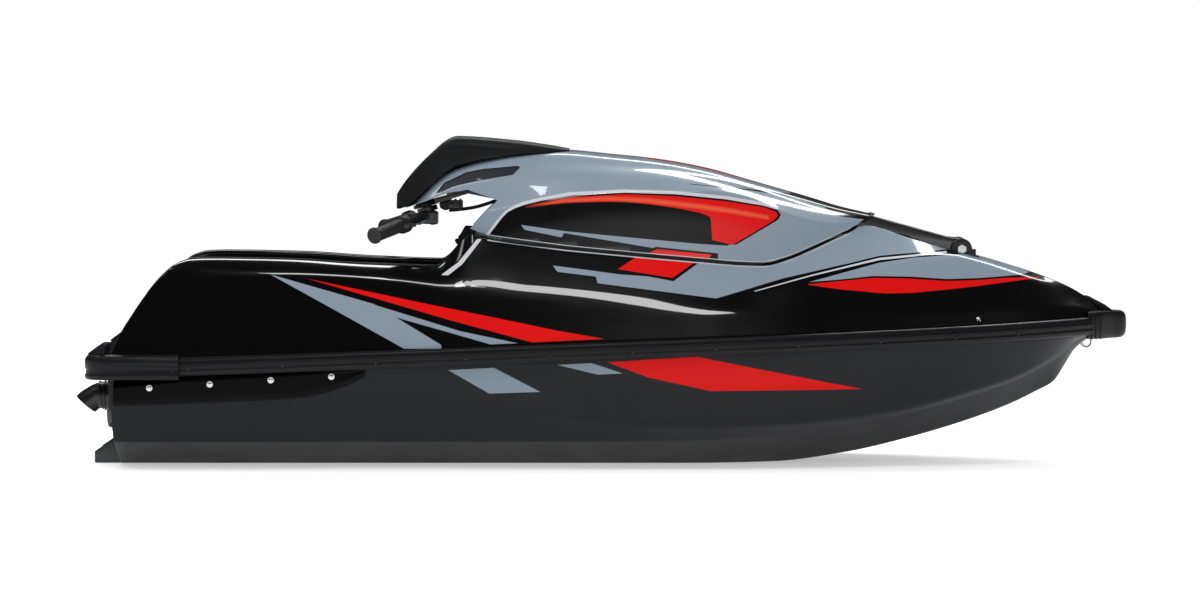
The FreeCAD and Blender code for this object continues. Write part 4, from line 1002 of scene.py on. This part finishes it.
# Pole cover: outer form kept inside its side outline, hollowed from below
cover = hull_loft("cover_skin", cover_outline, stations(-545, 720, 12))
seam = [(x, fair(SEAM, x, 2) + SEAM_GAP / 2) for x in stations(-300, 640, 20)]
outline = TAIL_PROFILE[::-1] + seam + COVER_FRONT + [(900, 900), (-620, 900), (-620, 640)]
cut_with(cover, prism("cover_keep", outline, 260), "INTERSECT")
cavity = hull_loft("cavity", lambda x: cover_outline(x, COVER_WALL), stations(-350, 720, 24))
cut_with(cavity, square("tail", -700, -300, 668, 900, 300))
cut_with(cover, cavity)
recess = prism("tail_recess", [
    (-431, 694), (-421, 693), (-389, 709), (-311, 727), (-236, 740), (-221, 751), (-218, 759),
    (-224, 763), (-311, 755), (-357, 746), (-411, 719),
], 220)
bed = hull_loft("recess_floor", lambda x: cover_outline(x, RECESS_DEPTH), stations(-470, -180, 12))
cut_with(recess, bed)
cut_with(cover, recess)
bevelled(cover, 0.0015, 2, 50)
smooth(cover, 36)
finished(cover, "pole", "cover_paint", cover_paint, "pole_cover")

# Rubber rail, with its raised lip, two grooves and small screws
RAIL_AFT_X = -1070.0
RAIL_FORE_X = 1237.7
RAIL_SECTION = [
    (0.3, -22.5), (12.5, -22.5), (15.5, -21), (18.5, -16), (19.6, -12.5), (19.9, -10.5),
    (18.4, -9.4), (17.6, -7.5), (17.6, -1.5), (18.4, 0.6), (19.9, 1.6), (20.0, 4.0), (19.8, 7.0),
    (18.8, 8.6), (17.2, 9.4), (16.9, 11.0), (18.0, 12.4), (17.6, 14.6), (15.6, 18.2), (13.0, 20.8),
    (10.6, 22.0), (8.0, 22.5), (0.3, 22.5),
]
rail_x = stations(RAIL_AFT_X, 900, 60) + stations(900, RAIL_FORE_X, 22)[1:]
rail = skin("rail_port_strip", [
    [bond_point(x, out, up) for out, up in RAIL_SECTION] for x in rail_x
])
screws = []
for x in (-1046, -810, -575, -351, -140, 68, 278, 483, 690, 880, 1040):
    screws.append(turned(
        "rail_screw", [(0, 4.2), (0.8, 4.0), (1.5, 3.0), (1.6, 1.4), (0.9, 1.2), (0.9, 0.4)],
        bond_point(x, 17.4, -4.5), bond_point(x, 100, 0) - bond_point(x, 0, 0), 20,
    ))
screws = even(joined("rail_screws_port", *screws), 42)
pair(even(rail, 42), "rail_starboard_strip", "hull", "rubber_trim", rubber,
     "rail_port", "rail_starboard")
pair(screws, "rail_screws_starboard", "hull", "black_metal", black_metal)

# Stern bumpers: a corner with lips and a groove, and the raised crest that meets the deck
BUMPER_X = -1311.0
OUTER = 382.5
BUMPER_LOW = bond_z(-1200) - 26
BUMPER_HIGH = bond_z(-1200) + 37
FACE_X = TRANSOM_TOP[0] - 0.3
INNER_END = OUTER - 150.5


def bumper_plan(inset):
    """Plan of the port stern bumper, in from its outermost line by an inset."""
    corner = 52.0
    points = [(RAIL_AFT_X - 1, OUTER - inset)]
    for step in range(9):
        turn = math.pi / 2 * step / 8
        points.append((
            BUMPER_X + corner - (corner - inset) * math.sin(turn),
            OUTER - corner + (corner - inset) * math.cos(turn),
        ))
    points += [(BUMPER_X + inset, INNER_END + min(inset, 6)), (FACE_X, INNER_END + min(inset, 6))]
    return points + [(x, half_beam(x) + 0.3) for x in stations(FACE_X, RAIL_AFT_X - 1, 60)]


BUMPER_SECTION = [
    (0, 7), (1, 4), (4, 1), (10, 0.3), (13, 0.8), (14, 2.6), (17, 3.0), (25, 3.0), (28, 2.6),
    (29.5, 0.9), (33, 0.4), (40, 0.2), (47, 0.4), (52, 1.4), (57, 4), (60.5, 8), (63, 14),
]
bumper = skin("stern_bumper_body", [
    [(x, y, BUMPER_LOW + up) for x, y in bumper_plan(inset)] for up, inset in BUMPER_SECTION
])
bevelled(bumper, 0.0012, 2, 55)
top_inner = half_beam(FACE_X) - 14
rings = []
for up, inset in [(0, 0), (8, 1), (18, 3), (24, 6), (27, 11)]:
    share = up / 27
    rings.append([(x, y, BUMPER_HIGH - 0.5 + up) for x, y in [
        (BUMPER_X + 52 + 4 * share, OUTER - 4 - 23 * share - inset * 0.4),
        (BUMPER_X + 22 + 21 * share + inset * 0.3, OUTER - 26 - 24 * share - inset * 0.3),
        (BUMPER_X + 5 + 34 * share + inset * 0.4, OUTER - 52 - 9 * share),
        (BUMPER_X + 4 + 34 * share + inset * 0.4, INNER_END + 6 + 9 * share),
        (FACE_X, INNER_END + 6 + 9 * share), (FACE_X, top_inner + 6 - 8 * share),
    ]])
crest = bevelled(skin("stern_bumper_crest", rings), 0.005, 4, 28)
screws = scattered(
    "bumper_screw", [(0, 4.6), (1.0, 4.4), (1.7, 3.2), (1.8, 1.6), (1.0, 1.3), (1.0, 0.4)],
    [(x, OUTER - 2.9, BUMPER_LOW + 21) for x in (-1239, -1085)], (0, 1, 0), 20,
)
bumper = joined("stern_bumper_port_rubber", even(bumper, 40), even(crest, 40), *screws)
pair(bumper, "stern_bumper_starboard_rubber", "hull", "rubber_trim", rubber,
     "stern_bumper_port", "stern_bumper_starboard")

# Bow bumper: rounded cap, two ribs beside the rail ends, and the tongue over the nose
BOW_TIP_X = 1346.0


def cap_plan(inset):
    """Plan of the bow cap, in from its outermost line by an inset."""
    wide = half_beam(1238) + 20.3 - inset
    tip = BOW_TIP_X - inset
    near = [(1238, wide), (1259, wide * 0.87), (1280, wide * 0.71), (1302, 48 - inset * 0.6),
            (tip - 25, 34 - inset * 0.2), (tip - 14, 26), (tip - 6, 17), (tip - 1.5, 8.5), (tip, 0)]
    return [(x, -y) for x, y in near] + [(x, y) for x, y in reversed(near[:-1])]


CAP_SECTION = [(-36, 17), (-34.5, 11), (-30, 5), (-23, 1.4), (-13, 0.2), (0, 0), (12, 0.2),
               (22, 1.8), (29, 6), (33, 12), (34, 18)]
mid = bond_z(BOW_END_X)


def cap(name, proud):
    """Form of the bow cap, or of one that stands proud of it."""
    return skin(name, [
        [(x, y, mid + up * (1 + proud * 0.02)) for x, y in cap_plan(inset - proud)]
        for up, inset in CAP_SECTION
    ])


bow_cap = cap("bow_cap", 0.0)
ribs = []
for x in (1246, 1258, 1270):
    rib = cap("bow_cap_rib", 1.6)
    cut_with(rib, square("rib_width", x, x + 6, 260, 460, 200), "INTERSECT")
    ribs.append(even(bevelled(rib, 0.001, 2, 50), 40))
rings = []
for x in stations(1236, 1306, 7):
    share = (x - 1236) / 70
    top = fair(DECK_LINES, min(x, 1290), 5) - max(x - 1290, 0) * 0.75
    half = 15 + 24 * share
    rise = 6 * math.sin(min(1, share * 5) * math.pi / 2)
    rings.append([
        (x, -half, top - 12), (x, -half, top + rise - 3), (x, -half + 3, top + rise),
        (x, 0, top + rise + 0.6), (x, half - 3, top + rise), (x, half, top + rise - 3),
        (x, half, top - 12),
    ])
tongue = even(skin("bow_tongue", rings), 40)
bow_cap = joined("bow_bumper_rubber", even(bow_cap, 60), tongue, *ribs)
finished(bow_cap, "hull", "rubber_trim", rubber, "bow_bumper")

# Bow eye of bent wire
EYE_X = 1243
EYE_Z = 304.5
EYE_BEND = 13
WIRE_RADIUS = 3.5
eye_top = bond_z(EYE_X) - BOND_BAND + 1
path = [(EYE_X - EYE_BEND, 0, eye_top)]
for step in range(13):
    turn = math.pi * step / 12
    path.append((EYE_X - EYE_BEND * math.cos(turn), 0, EYE_Z - EYE_BEND * math.sin(turn)))
path.append((EYE_X + EYE_BEND, 0, eye_top))
length = 2 * (eye_top - EYE_Z) + math.pi * EYE_BEND
eye = tube("bow_eye_wire", path, [(length * step / 24, WIRE_RADIUS) for step in range(25)], 16)
finished(even(eye, 60), "hull", "steel_wire", steel, "bow_eye")

# Sponsons, each with four washered screws
SPONSON_LINES = [
    (-1236, 163, 27.5), (-900, 177, 17), (-767, 185, 15), (-660, 212, 10.5), (-604, 238, 9),
]


def sponson_outline(x):
    """Section of a sponson, from its root in the hull round its outer edge."""
    low, beyond = (fair(SPONSON_LINES, x, column) for column in (1, 2))
    edge = half_beam(x)
    top = bond_z(x) - 23.6
    out = edge + beyond
    shelf = straight([(-1236, 20), (-1055, 10), (-700, 6), (-604, 3)], x)
    return [
        (edge - 56, top, 0), (edge + 8, top, 3), (out - 4, top - shelf, 2.5),
        (out - 2, low + 12, 3), (out - 10, low + 1.5, 4), (out - 18, low, 3),
        (edge - 56, low + 2, 0),
    ]


sponson = skin("sponson_blade", [
    [(x, -y, z) for y, z in rounded(sponson_outline(x), runs=2)] for x in stations(-1236, -604, 24)
])
pair(even(sponson, 40), "sponson_blade_port", "hull", "sponson_gloss", black_gloss,
     "sponson_starboard", "sponson_port")
places = []
for x, z in ((-1145, 211), (-993, 220.5), (-840, 231), (-688, 239.6)):
    (y0, z0, _), (y1, z1, _) = sponson_outline(x)[2:4]
    places.append((x, -y0 - (y1 - y0) * min(max((z - z0) / (z1 - z0), 0), 1), z))
screws = scattered("sponson_screw", [
    (-3, 8.2), (0.6, 8.2), (1.2, 7.6), (1.3, 5.4), (1.8, 5.2), (4.2, 5.0), (5.0, 3.9), (5.1, 2.4),
    (3.4, 2.2), (3.4, 0.5),
], places, (0, -1, 0), 24)
screws = even(joined("sponson_screws_starboard", *screws), 40)
pair(screws, "sponson_screws_port", "hull", "steel_wire", steel)

# Exhaust outlet: collar at the transom, hose rings, and a flared mouth cut on the slant
OUTLET_ROOT_X = -1223
OUTLET_Y = -205
OUTLET_Z = 182
OUTLET_BEND = 60
turn = math.radians(51.5)
start_x = -1346.0 + 92.0 * math.sin(turn)
path = [(OUTLET_ROOT_X, OUTLET_Y, OUTLET_Z), (start_x, OUTLET_Y, OUTLET_Z)]
for step in range(1, 13):
    bend = turn * step / 12
    path.append((start_x - OUTLET_BEND * math.sin(bend), OUTLET_Y,
                 OUTLET_Z - OUTLET_BEND * (1 - math.cos(bend))))
total = abs(start_x - OUTLET_ROOT_X) + OUTLET_BEND * turn
rings = [
    (0, 36), (34, 36), (35, 41), (40, 41), (41, 36), (46, 35), (47, 38.5), (50, 38.5), (51, 35),
    (56, 34.4), (57, 37), (60, 37), (61, 33.6), (70, 32), (total - 30, 31.2), (total - 10, 31.6),
    (total - 1.5, 32), (total, 31), (total - 0.5, 28.6), (total - 10, 27.6), (total - 60, 27),
]
exhaust = tube("exhaust_pipe", path, rings, 48)
finished(even(exhaust, 50), "hull", "exhaust_black", black_metal, "exhaust_outlet")

# Ribbed mat of the tray, and the foam on its walls with its sloping channels
MAT_AFT = -1221.0
MAT_FORE = -440.0
MAT_RIB_PITCH = 15.0
FOAM_CHANNEL_PITCH = 31


def floor_height(x):
    """Height of the tray's floor, which rises a little towards the bow."""
    return 303.0 + 12.0 * (x + 1500) / 1065


ribs = [(-198.5, 0.3), (-198.5, 3.0), (-196.5, 5.2)]
for index in range(26):
    y = -193.0 + index * MAT_RIB_PITCH
    ribs += [(y, 4.6), (y + 1.4, 6.9), (y + 9.2, 6.9), (y + 10.6, 4.6)]
ribs += [(196.5, 5.2), (198.5, 3.0), (198.5, 0.3)]
mat = skin("tray_mat_ribbed", [
    [(x, y, floor_height(x) + 0.3 + (up - 0.3) * share) for y, up in ribs]
    for x, share in [(MAT_AFT, 0.0), (MAT_AFT + 1, 0.6), (MAT_AFT + 4, 1.0), (MAT_FORE - 4, 1.0),
                     (MAT_FORE - 1, 0.6), (MAT_FORE, 0.0)]
])
finished(even(mat, 25), "hull", "tray_rubber", tray_rubber, "tray_mat")


def shrunk(outline, inset):
    """Outline of (x, z) points moved in towards its middle by an inset."""
    middle = sum((Vector(point) for point in outline), Vector((0, 0))) / len(outline)
    along = 1 - inset / max(abs(x - middle.x) for x, _ in outline)
    up = 1 - inset / max(abs(z - middle.y) for _, z in outline)
    return [(middle.x + (x - middle.x) * along, middle.y + (z - middle.y) * up) for x, z in outline]


wall = [(-1150, floor_height(-1150) + 8), (-425, floor_height(-425) + 21), (-400, 400), (-400, 494),
        (-600, 502), (-1000, 512), (-1065, 500), (-1150, 400)]
pad = skin("tray_wall_foam_port", [
    [(x, y, z) for x, z in shrunk(wall, inset)]
    for inset, y in ((0, 204.8), (0, 200.5), (1.0, 198.0), (3.5, 196.5), (7, 196.1))
])
for step in range(5):
    z0 = 352 + step * FOAM_CHANNEL_PITCH
    groove = [(-1170, z0 - 8), (-1170, z0 - 4.5), (-380, z0 + 1.5), (-380, z0 - 2)]
    cut_with(pad, prism("channel", groove, 197.6))
pair(even(pad, 30), "tray_wall_foam_starboard", "hull", "tray_rubber", tray_rubber,
     "tray_wall_pad_port", "tray_wall_pad_starboard")

# Ribbed pull at the rear of the hood
pull = prism("hood_pull", [
    (-387, 561), (-372, 556.5), (-332.5, 590), (-332.5, 603.5), (-362, 605.5),
], 33.5, 0.0025)
bars = scattered("pull_rib", [(-34, 2.6), (-33, 3.9), (33, 3.9), (34, 2.6)],
                 [(-384 + step * 9, 0, 568 + step * 10) for step in range(4)], (0, 1, 0), 16)
pull = joined("hood_pull", pull, *bars)
finished(even(pull, 45), "hull", "rubber_trim", rubber, "hood_latch")

# Pump: ride plate, outlet with its ears, housing, intake bars and the flange's bolts
PUMP_FLANGE_X = -1152
BOLT_CIRCLE = 79
for node, made, width in [
    ("ride_plate", dark_alloy, 0.0035), ("pump_outlet", alloy, 0.0012),
    ("pump_housing", alloy, 0.0012), ("intake_grate", dark_alloy, 0.0030),
]:
    dressed(node, "hull", "pump_alloy", made, width)
angles = [math.radians(turn * 45 + 22.5) for turn in range(8)]
bolts = scattered(
    "pump_bolt", [(0, 4.6), (3, 4.6), (4, 3.8), (4.2, 2.4), (2.6, 2.2), (2.6, 0.5)],
    [(PUMP_FLANGE_X, BOLT_CIRCLE * math.cos(angle), PUMP_Z + BOLT_CIRCLE * math.sin(angle))
     for angle in angles], (-1, 0, 0), 12,
)
finished(even(joined("pump_bolts", *bolts), 40), "hull", "steel_wire", steel)

# Nozzle, with its two upright pins and its steering arm
NOZZLE_X = -1215
NOZZLE_PIN_X = -1229
NOZZLE_RINGS = [
    (0.2, 66.6), (0.2, 71), (1.5, 72), (8, 71.6), (9.5, 69.2), (30, 62.4), (32, 64.2), (36, 63.2),
    (37.5, 59.8), (60, 50.6), (61.5, 49.6), (69, 46.4), (70, 45.2), (70, 40.8), (69, 40.2),
    (20, 58.9), (0.2, 66.6),
]
NOZZLE_SIDES = 64
turns = [2 * math.pi * step / NOZZLE_SIDES for step in range(NOZZLE_SIDES)]
nozzle = skin("jet_nozzle", [
    [(radius * math.cos(turn), radius * math.sin(turn), distance) for turn in turns]
    for distance, radius in NOZZLE_RINGS
], fill=False)
laid(nozzle, (NOZZLE_X, 0, PUMP_Z), (-1, 0, 0))
bosses = [
    turned("nozzle_pin", [(62, 6), (83, 6), (83.5, 5.6), (83.8, 3.4), (82, 3.2), (82, 0.5)],
           (NOZZLE_PIN_X, 0, PUMP_Z), (0, 0, sign), 24) for sign in (-1, 1)
]
arm = square("nozzle_arm", -1270, -1236, 128, 136, 8, 0.002)
nozzle = joined("jet_nozzle", nozzle, *bosses, arm)
finished(even(nozzle, 35), "nozzle", "pump_alloy", dark_alloy, "steering_nozzle")

# Impeller: hub, spinner and four twisted blades that thin towards their tips
IMPELLER_X = -1041
HUB_FRONT_X = -980
BLADES = 4
ROOT_RADIUS = 25
TIP_RADIUS = 68.6
ROOT_PITCH = 60
PITCH_DROP = 18
ROOT_THICKNESS = 4.4
THICKNESS_DROP = 2.4
BLADE_CHORD = 29.5
FLATNESS = 0.62
SPANS = 8
blades = []
for number in range(BLADES):
    turn = Matrix.Rotation(math.radians(360 * number / BLADES), 4, "X")
    rings = []
    for step in range(SPANS + 1):
        radius = ROOT_RADIUS + (TIP_RADIUS - ROOT_RADIUS) * step / SPANS
        pitch = math.radians(ROOT_PITCH - PITCH_DROP * step / SPANS)
        chord = BLADE_CHORD / math.cos(pitch) * (1 - 0.10 * (step / SPANS) ** 3)
        thick = ROOT_THICKNESS - THICKNESS_DROP * step / SPANS
        ring = []
        for share, side in (
            (-1, 0), (-0.8, 0.7), (0, 1), (0.8, 0.7), (1, 0), (0.8, -0.7), (0, -1), (-0.8, -0.7),
        ):
            along = chord * share * 0.95
            across = thick / 2 * side
            sweep = 6 * share * (1 - share) * step / SPANS
            rise = along * math.sin(pitch) * FLATNESS
            ring.append(turn @ Vector((
                along * math.cos(pitch) - across * math.sin(pitch),
                rise + across * math.cos(pitch) + sweep,
                math.sqrt(max(radius ** 2 - (rise + sweep) ** 2, 100)),
            )))
        rings.append(ring)
    blades.append(laid(skin("impeller_blade", rings), (IMPELLER_X, 0, PUMP_Z)))
hub = turned("impeller_hub", [
    (0, 13.3), (2, 14), (30, 28), (34, 28.0), (91, 28.0), (92, 27.2), (92, 14),
], (HUB_FRONT_X, 0, PUMP_Z), (-1, 0, 0), 48)
impeller = even(joined("impeller_wheel", hub, *blades), 40)
finished(impeller, "impeller", "impeller_steel", steel, "impeller")

# Drain plugs, and the small outlet for cooling water on the nose
DRAIN_Z = 110
x = TRANSOM_FOOT[0] + (TRANSOM_TOP[0] - TRANSOM_FOOT[0]) * DRAIN_Z / TRANSOM_TOP[1] + 3
for label, y in (("port", 254.8), ("starboard", -265.0)):
    plug = turned("drain_cap_" + label, [
        (-4, 14.2), (3.2, 14.9), (4.0, 14.2), (4.2, 12.0), (3.2, 11.6), (3.2, 0.5),
    ], (x, y, DRAIN_Z), (-1, 0, 0), 36)
    knob = square("drain_grip", x - 11, x - 2.5, DRAIN_Z - 4, DRAIN_Z + 4, 12, 0.002)
    plug = joined("drain_cap_" + label, plug, laid(knob, (0, y, 0)))
    finished(even(plug, 40), "hull", "control_plastic", black_plastic, "drain_plug_" + label)
COOLING_X = 941
nipple = turned("cooling_nipple", [
    (20, 7.6), (46, 8.0), (47, 7.2), (48, 5.4), (53, 5.0), (54, 4.2), (54.1, 2.8), (46, 2.6),
    (46, 0.4),
], (COOLING_X, 66 - half_beam(COOLING_X), 374), (5, -54, 0), 28)
finished(even(nipple, 40), "hull", "control_plastic", steel, "cooling_outlet")

# Pivot: painted cheeks, and a pin with washers and hexagon nuts
dressed("pivot_bracket", "hull", "black_metal", black_metal, 0.002)


def on_pin(name, rows, out, sides):
    """The same lathe form at both ends of the pivot pin, facing outwards."""
    return [
        turned(name, rows, (PIVOT_X, sign * out, PIVOT_Z), (0, sign, 0), sides) for sign in (-1, 1)
    ]


washers = on_pin("pivot_washer", [(0, 19), (2.2, 19), (3.0, 18.2), (3.0, 8)], 69.9, 40)
nuts = on_pin("pivot_nut", [(0, 13), (7.0, 13), (8.6, 11.6), (8.6, 9.0), (8.8, 0.5)], 72, 6)
nuts += on_pin("pivot_thread", [(0, 6.6), (6, 6.6), (6.6, 6.0), (6.6, 0.5)], 72, 24)
finished(even(joined("pivot_nuts", *nuts), 30), "hull", "steel_wire", steel)
finished(even(joined("pivot_washers", *washers), 30), "hull", "black_metal", black_metal)

# Arm of the pole and the rubber lip at the front of its cover
dressed("pole_arm", "pole", "arm_black", arm_black, 0.006, 4)
dressed("front_rim", "pole", "rubber_trim", rubber, 0.003)


def pad_outline(x):
    """Half section of the foam pad."""
    half, top = fair(PAD_LINES, x, 1), fair(PAD_LINES, x, 2)
    under = fair(COVER_LINES, x, 7) - 40
    drop = top - under
    shoulder = min(21.0, drop * 0.4)
    return [
        (0, under, 0), (half - 2, under, 2), (half + 2, under + drop * 0.5, 20),
        (half, top - shoulder, 3), (half - shoulder * 0.5, top - shoulder * 0.28, 8),
        (half - shoulder * 0.95, top - shoulder * 0.06, 8), (half * 0.35, top, 12), (0, top, 0),
    ]


# Foam pad over the tail of the cover
pole_pad = hull_loft("tail_pad", pad_outline, stations(PAD_LINES[0][0], PAD_LINES[-1][0], 9))
cut_with(pole_pad, prism("pad_keep", [
    (-600, 640), (-538, 648), (-500, 660), (-488, 672), (-454, 704), (-410, 743), (-381, 761),
    (-323, 776), (-225, 791), (-60, 800), (-60, 900), (-600, 900),
], 200), "INTERSECT")
under = hull_loft("under_pad", lambda x: cover_outline(x, -PAD_GAP), stations(-544, -60, 22))
cut_with(pole_pad, under)
apply_modifier(pole_pad, "REMESH", mode="VOXEL", voxel_size=0.004)
apply_modifier(pole_pad, "SMOOTH", factor=0.5, iterations=5)
smooth(pole_pad, 80)
finished(pole_pad, "pole", "foam_pad", foam, "pole_pad")

# Steering column with its bellows, the flange that carries the switch box, and the box
LEAN_DEGREES = 15
lean = math.radians(LEAN_DEGREES)
LEAN = Vector((-math.sin(lean), 0, math.cos(lean)))
STEER = Vector((-455, 0, 632))
FOLD_PITCH = 6.4
bellows = [(24.2, 20), (24.4, 32), (25.4, 33.3), (32.6, 33.3), (33.8, 31.8)]
for step in range(5):
    up = 35 + step * FOLD_PITCH
    bellows += [(up, 24.6), (up + 1.6, 27.3), (up + 3.4, 27.3), (up + 5.0, 24.6)]
bellows += [(68, 26), (70, 26)]
boot = turned("steering_boot", bellows, STEER, LEAN, 44)
finished(even(boot, 60), "pole", "black_metal", rubber, "steering_column")
finished(cable, "pole", "control_plastic", rubber, "control_cable")
dressed("lower_flange", "pole", "control_plastic", black_plastic, 0.0022)
sleeve = prism("cable_sleeve", [
    (-428, 667), (-401, 675.5), (-401, 648), (-412, 647), (-424, 652),
], 23, 0.005)
finished(even(laid(sleeve, (0, -39, 0)), 40), "pole", "control_plastic", rubber)
box = laid(square("kill_switch", -404, -366, 650.5, 673.5, 15, 0.004), (0, -51, 0))
details = scattered("box_stud", [(0, 3.2), (3.2, 3.0), (4.0, 2.2), (4.0, 0.4)],
                    [(x, -58, 673.2) for x in (-398, -385, -372)], (0, 0, 1), 16)
for x, radius in ((-394.5, 6.2), (-376.5, 5.4)):
    details.append(turned("switch_button", [
        (-1, radius + 1.6), (0.9, radius + 1.6), (1.3, radius), (0.4, radius - 0.4),
        (2.2, radius - 0.9), (2.7, radius - 2), (2.8, 0.5),
    ], (x, -65.4, 661), (0, -1, 0), 28))
box = even(joined("kill_switch", box, *details), 40)
finished(box, "pole", "control_plastic", black_plastic, "switch_box")

# Handlebar, its clamp, the ribbed grips, the housings and the throttle lever
BAR_RADIUS = 11.0
GRIP_RUN = 125.0
GRIP_RIB_PITCH = 5.2
HOUSING_RUN = 131.3
BEND_REACH = 26
half_bar = [(-463, 0, 632), (-463, -80, 632), (-507, -172, 618), (-580, -307, 592)]
full_bar = [(x, -y, z) for x, y, z in half_bar[:0:-1]] + half_bar[1:]
path = bent_line(full_bar, BEND_REACH)
reach = sum((b - a).length for a, b in zip(path, path[1:]))
rings = [(1.2 + (reach - 2.4) * step / 72, BAR_RADIUS) for step in range(73)]
bar = tube("steering_bar", path, rings, 28, across=(1, 0, 0))
finished(even(bar, 50), "handlebar", "black_metal", black_metal, "handlebar")

block = prism("clamp_block", [
    (-487, 612), (-431, 610), (-431, 640), (-440, 644), (-476, 644), (-487, 634),
], 42)
bevelled(block, 0.004, 3, 25)
cut_with(block, square("clamp_slit", -488, -430, 626, 628.4, 43))
stem = turned("steering_stem", [
    (10, 26.4), (11, 26.8), (21.5, 26.8), (23, 25.4), (23.2, 12.5), (38, 12.4),
], STEER, LEAN, 40)
bolts = scattered(
    "clamp_bolt", [(-2, 6), (3.4, 6), (4.2, 5.2), (4.2, 3.2), (1.4, 3.0), (1.4, 0.5)],
    [(x, y, 613) for x in (-480, -444) for y in (-31, 31)], (0, 0, -1), 20,
)
block = even(joined("bar_clamp_block", block, stem, *bolts), 40)
finished(block, "handlebar", "black_metal", clamp_grey, "bar_clamp")

inner = Vector(half_bar[2])
end = Vector(half_bar[3])
direction = (end - inner).normalized()
start = end - direction * GRIP_RUN
rows = [(-6, 12), (-6, 20.2), (-5, 21), (-1.4, 21), (-0.4, 20.2), (0.4, 17.2)]
for step in range(22):
    along = 4.0 + step * GRIP_RIB_PITCH
    rows += [(along, 16.1), (along + 0.8, 17.5), (along + 3.6, 17.5), (along + 4.4, 16.1)]
rows += [(122.5, 17), (124.5, 20.4), (126, 21), (129, 21), (130.4, 20), (131, 17), (130, 13),
         (130, 0.6)]
handle = even(turned("rubber_grip_starboard", rows, start, direction, 40), 38)
pair(handle, "rubber_grip_port", "handlebar", "rubber_trim", grip_rubber,
     "grip_starboard", "grip_port")

start = end - direction * HOUSING_RUN
middle = start - direction * 11


def housing(name):
    """Clamped housing: ring round the bar, a rounded block and two small screws."""
    ring = turned(name, [
        (0, 14), (0.2, 21.6), (1.6, 23), (8.6, 23), (9.4, 22), (12.6, 22), (13.4, 23), (20.4, 23),
        (21.8, 21.6), (22, 12),
    ], start, -direction, 40)
    body = square("housing_block", -17.5, 17.5, -7.5, 17.5, 14.6, 0.004)
    screws = scattered("housing_screw", [(0, 3.4), (1.0, 3.2), (1.5, 2.2), (0.4, 1.9), (0.4, 0.4)],
                       [(-11, -7, 17.2), (11, -7, 17.2)], (0, 0, 1), 16)
    button = turned("housing_button", [
        (0, 6.6), (0.5, 6.6), (0.8, 5.6), (0.2, 5.2), (0.8, 4.8), (0.9, 0.5),
    ], (0, 5, 17.2), (0, 0, 1), 24)
    body = laid(joined("housing_block", body, button, *screws), middle)
    return even(joined(name, ring, body), 40)


pair(housing("throttle_case"), "switch_case", "handlebar", "control_plastic", black_plastic,
     "throttle_housing", "switch_housing")
dressed("throttle_lever", "handlebar", "control_plastic", black_plastic, 0.002)

for node, made in [("engine_hood", hood_black), ("engine_block", alloy), ("drive_shaft", steel)]:
    nodes[node].data.materials.clear()
    nodes[node].data.materials.append(made)
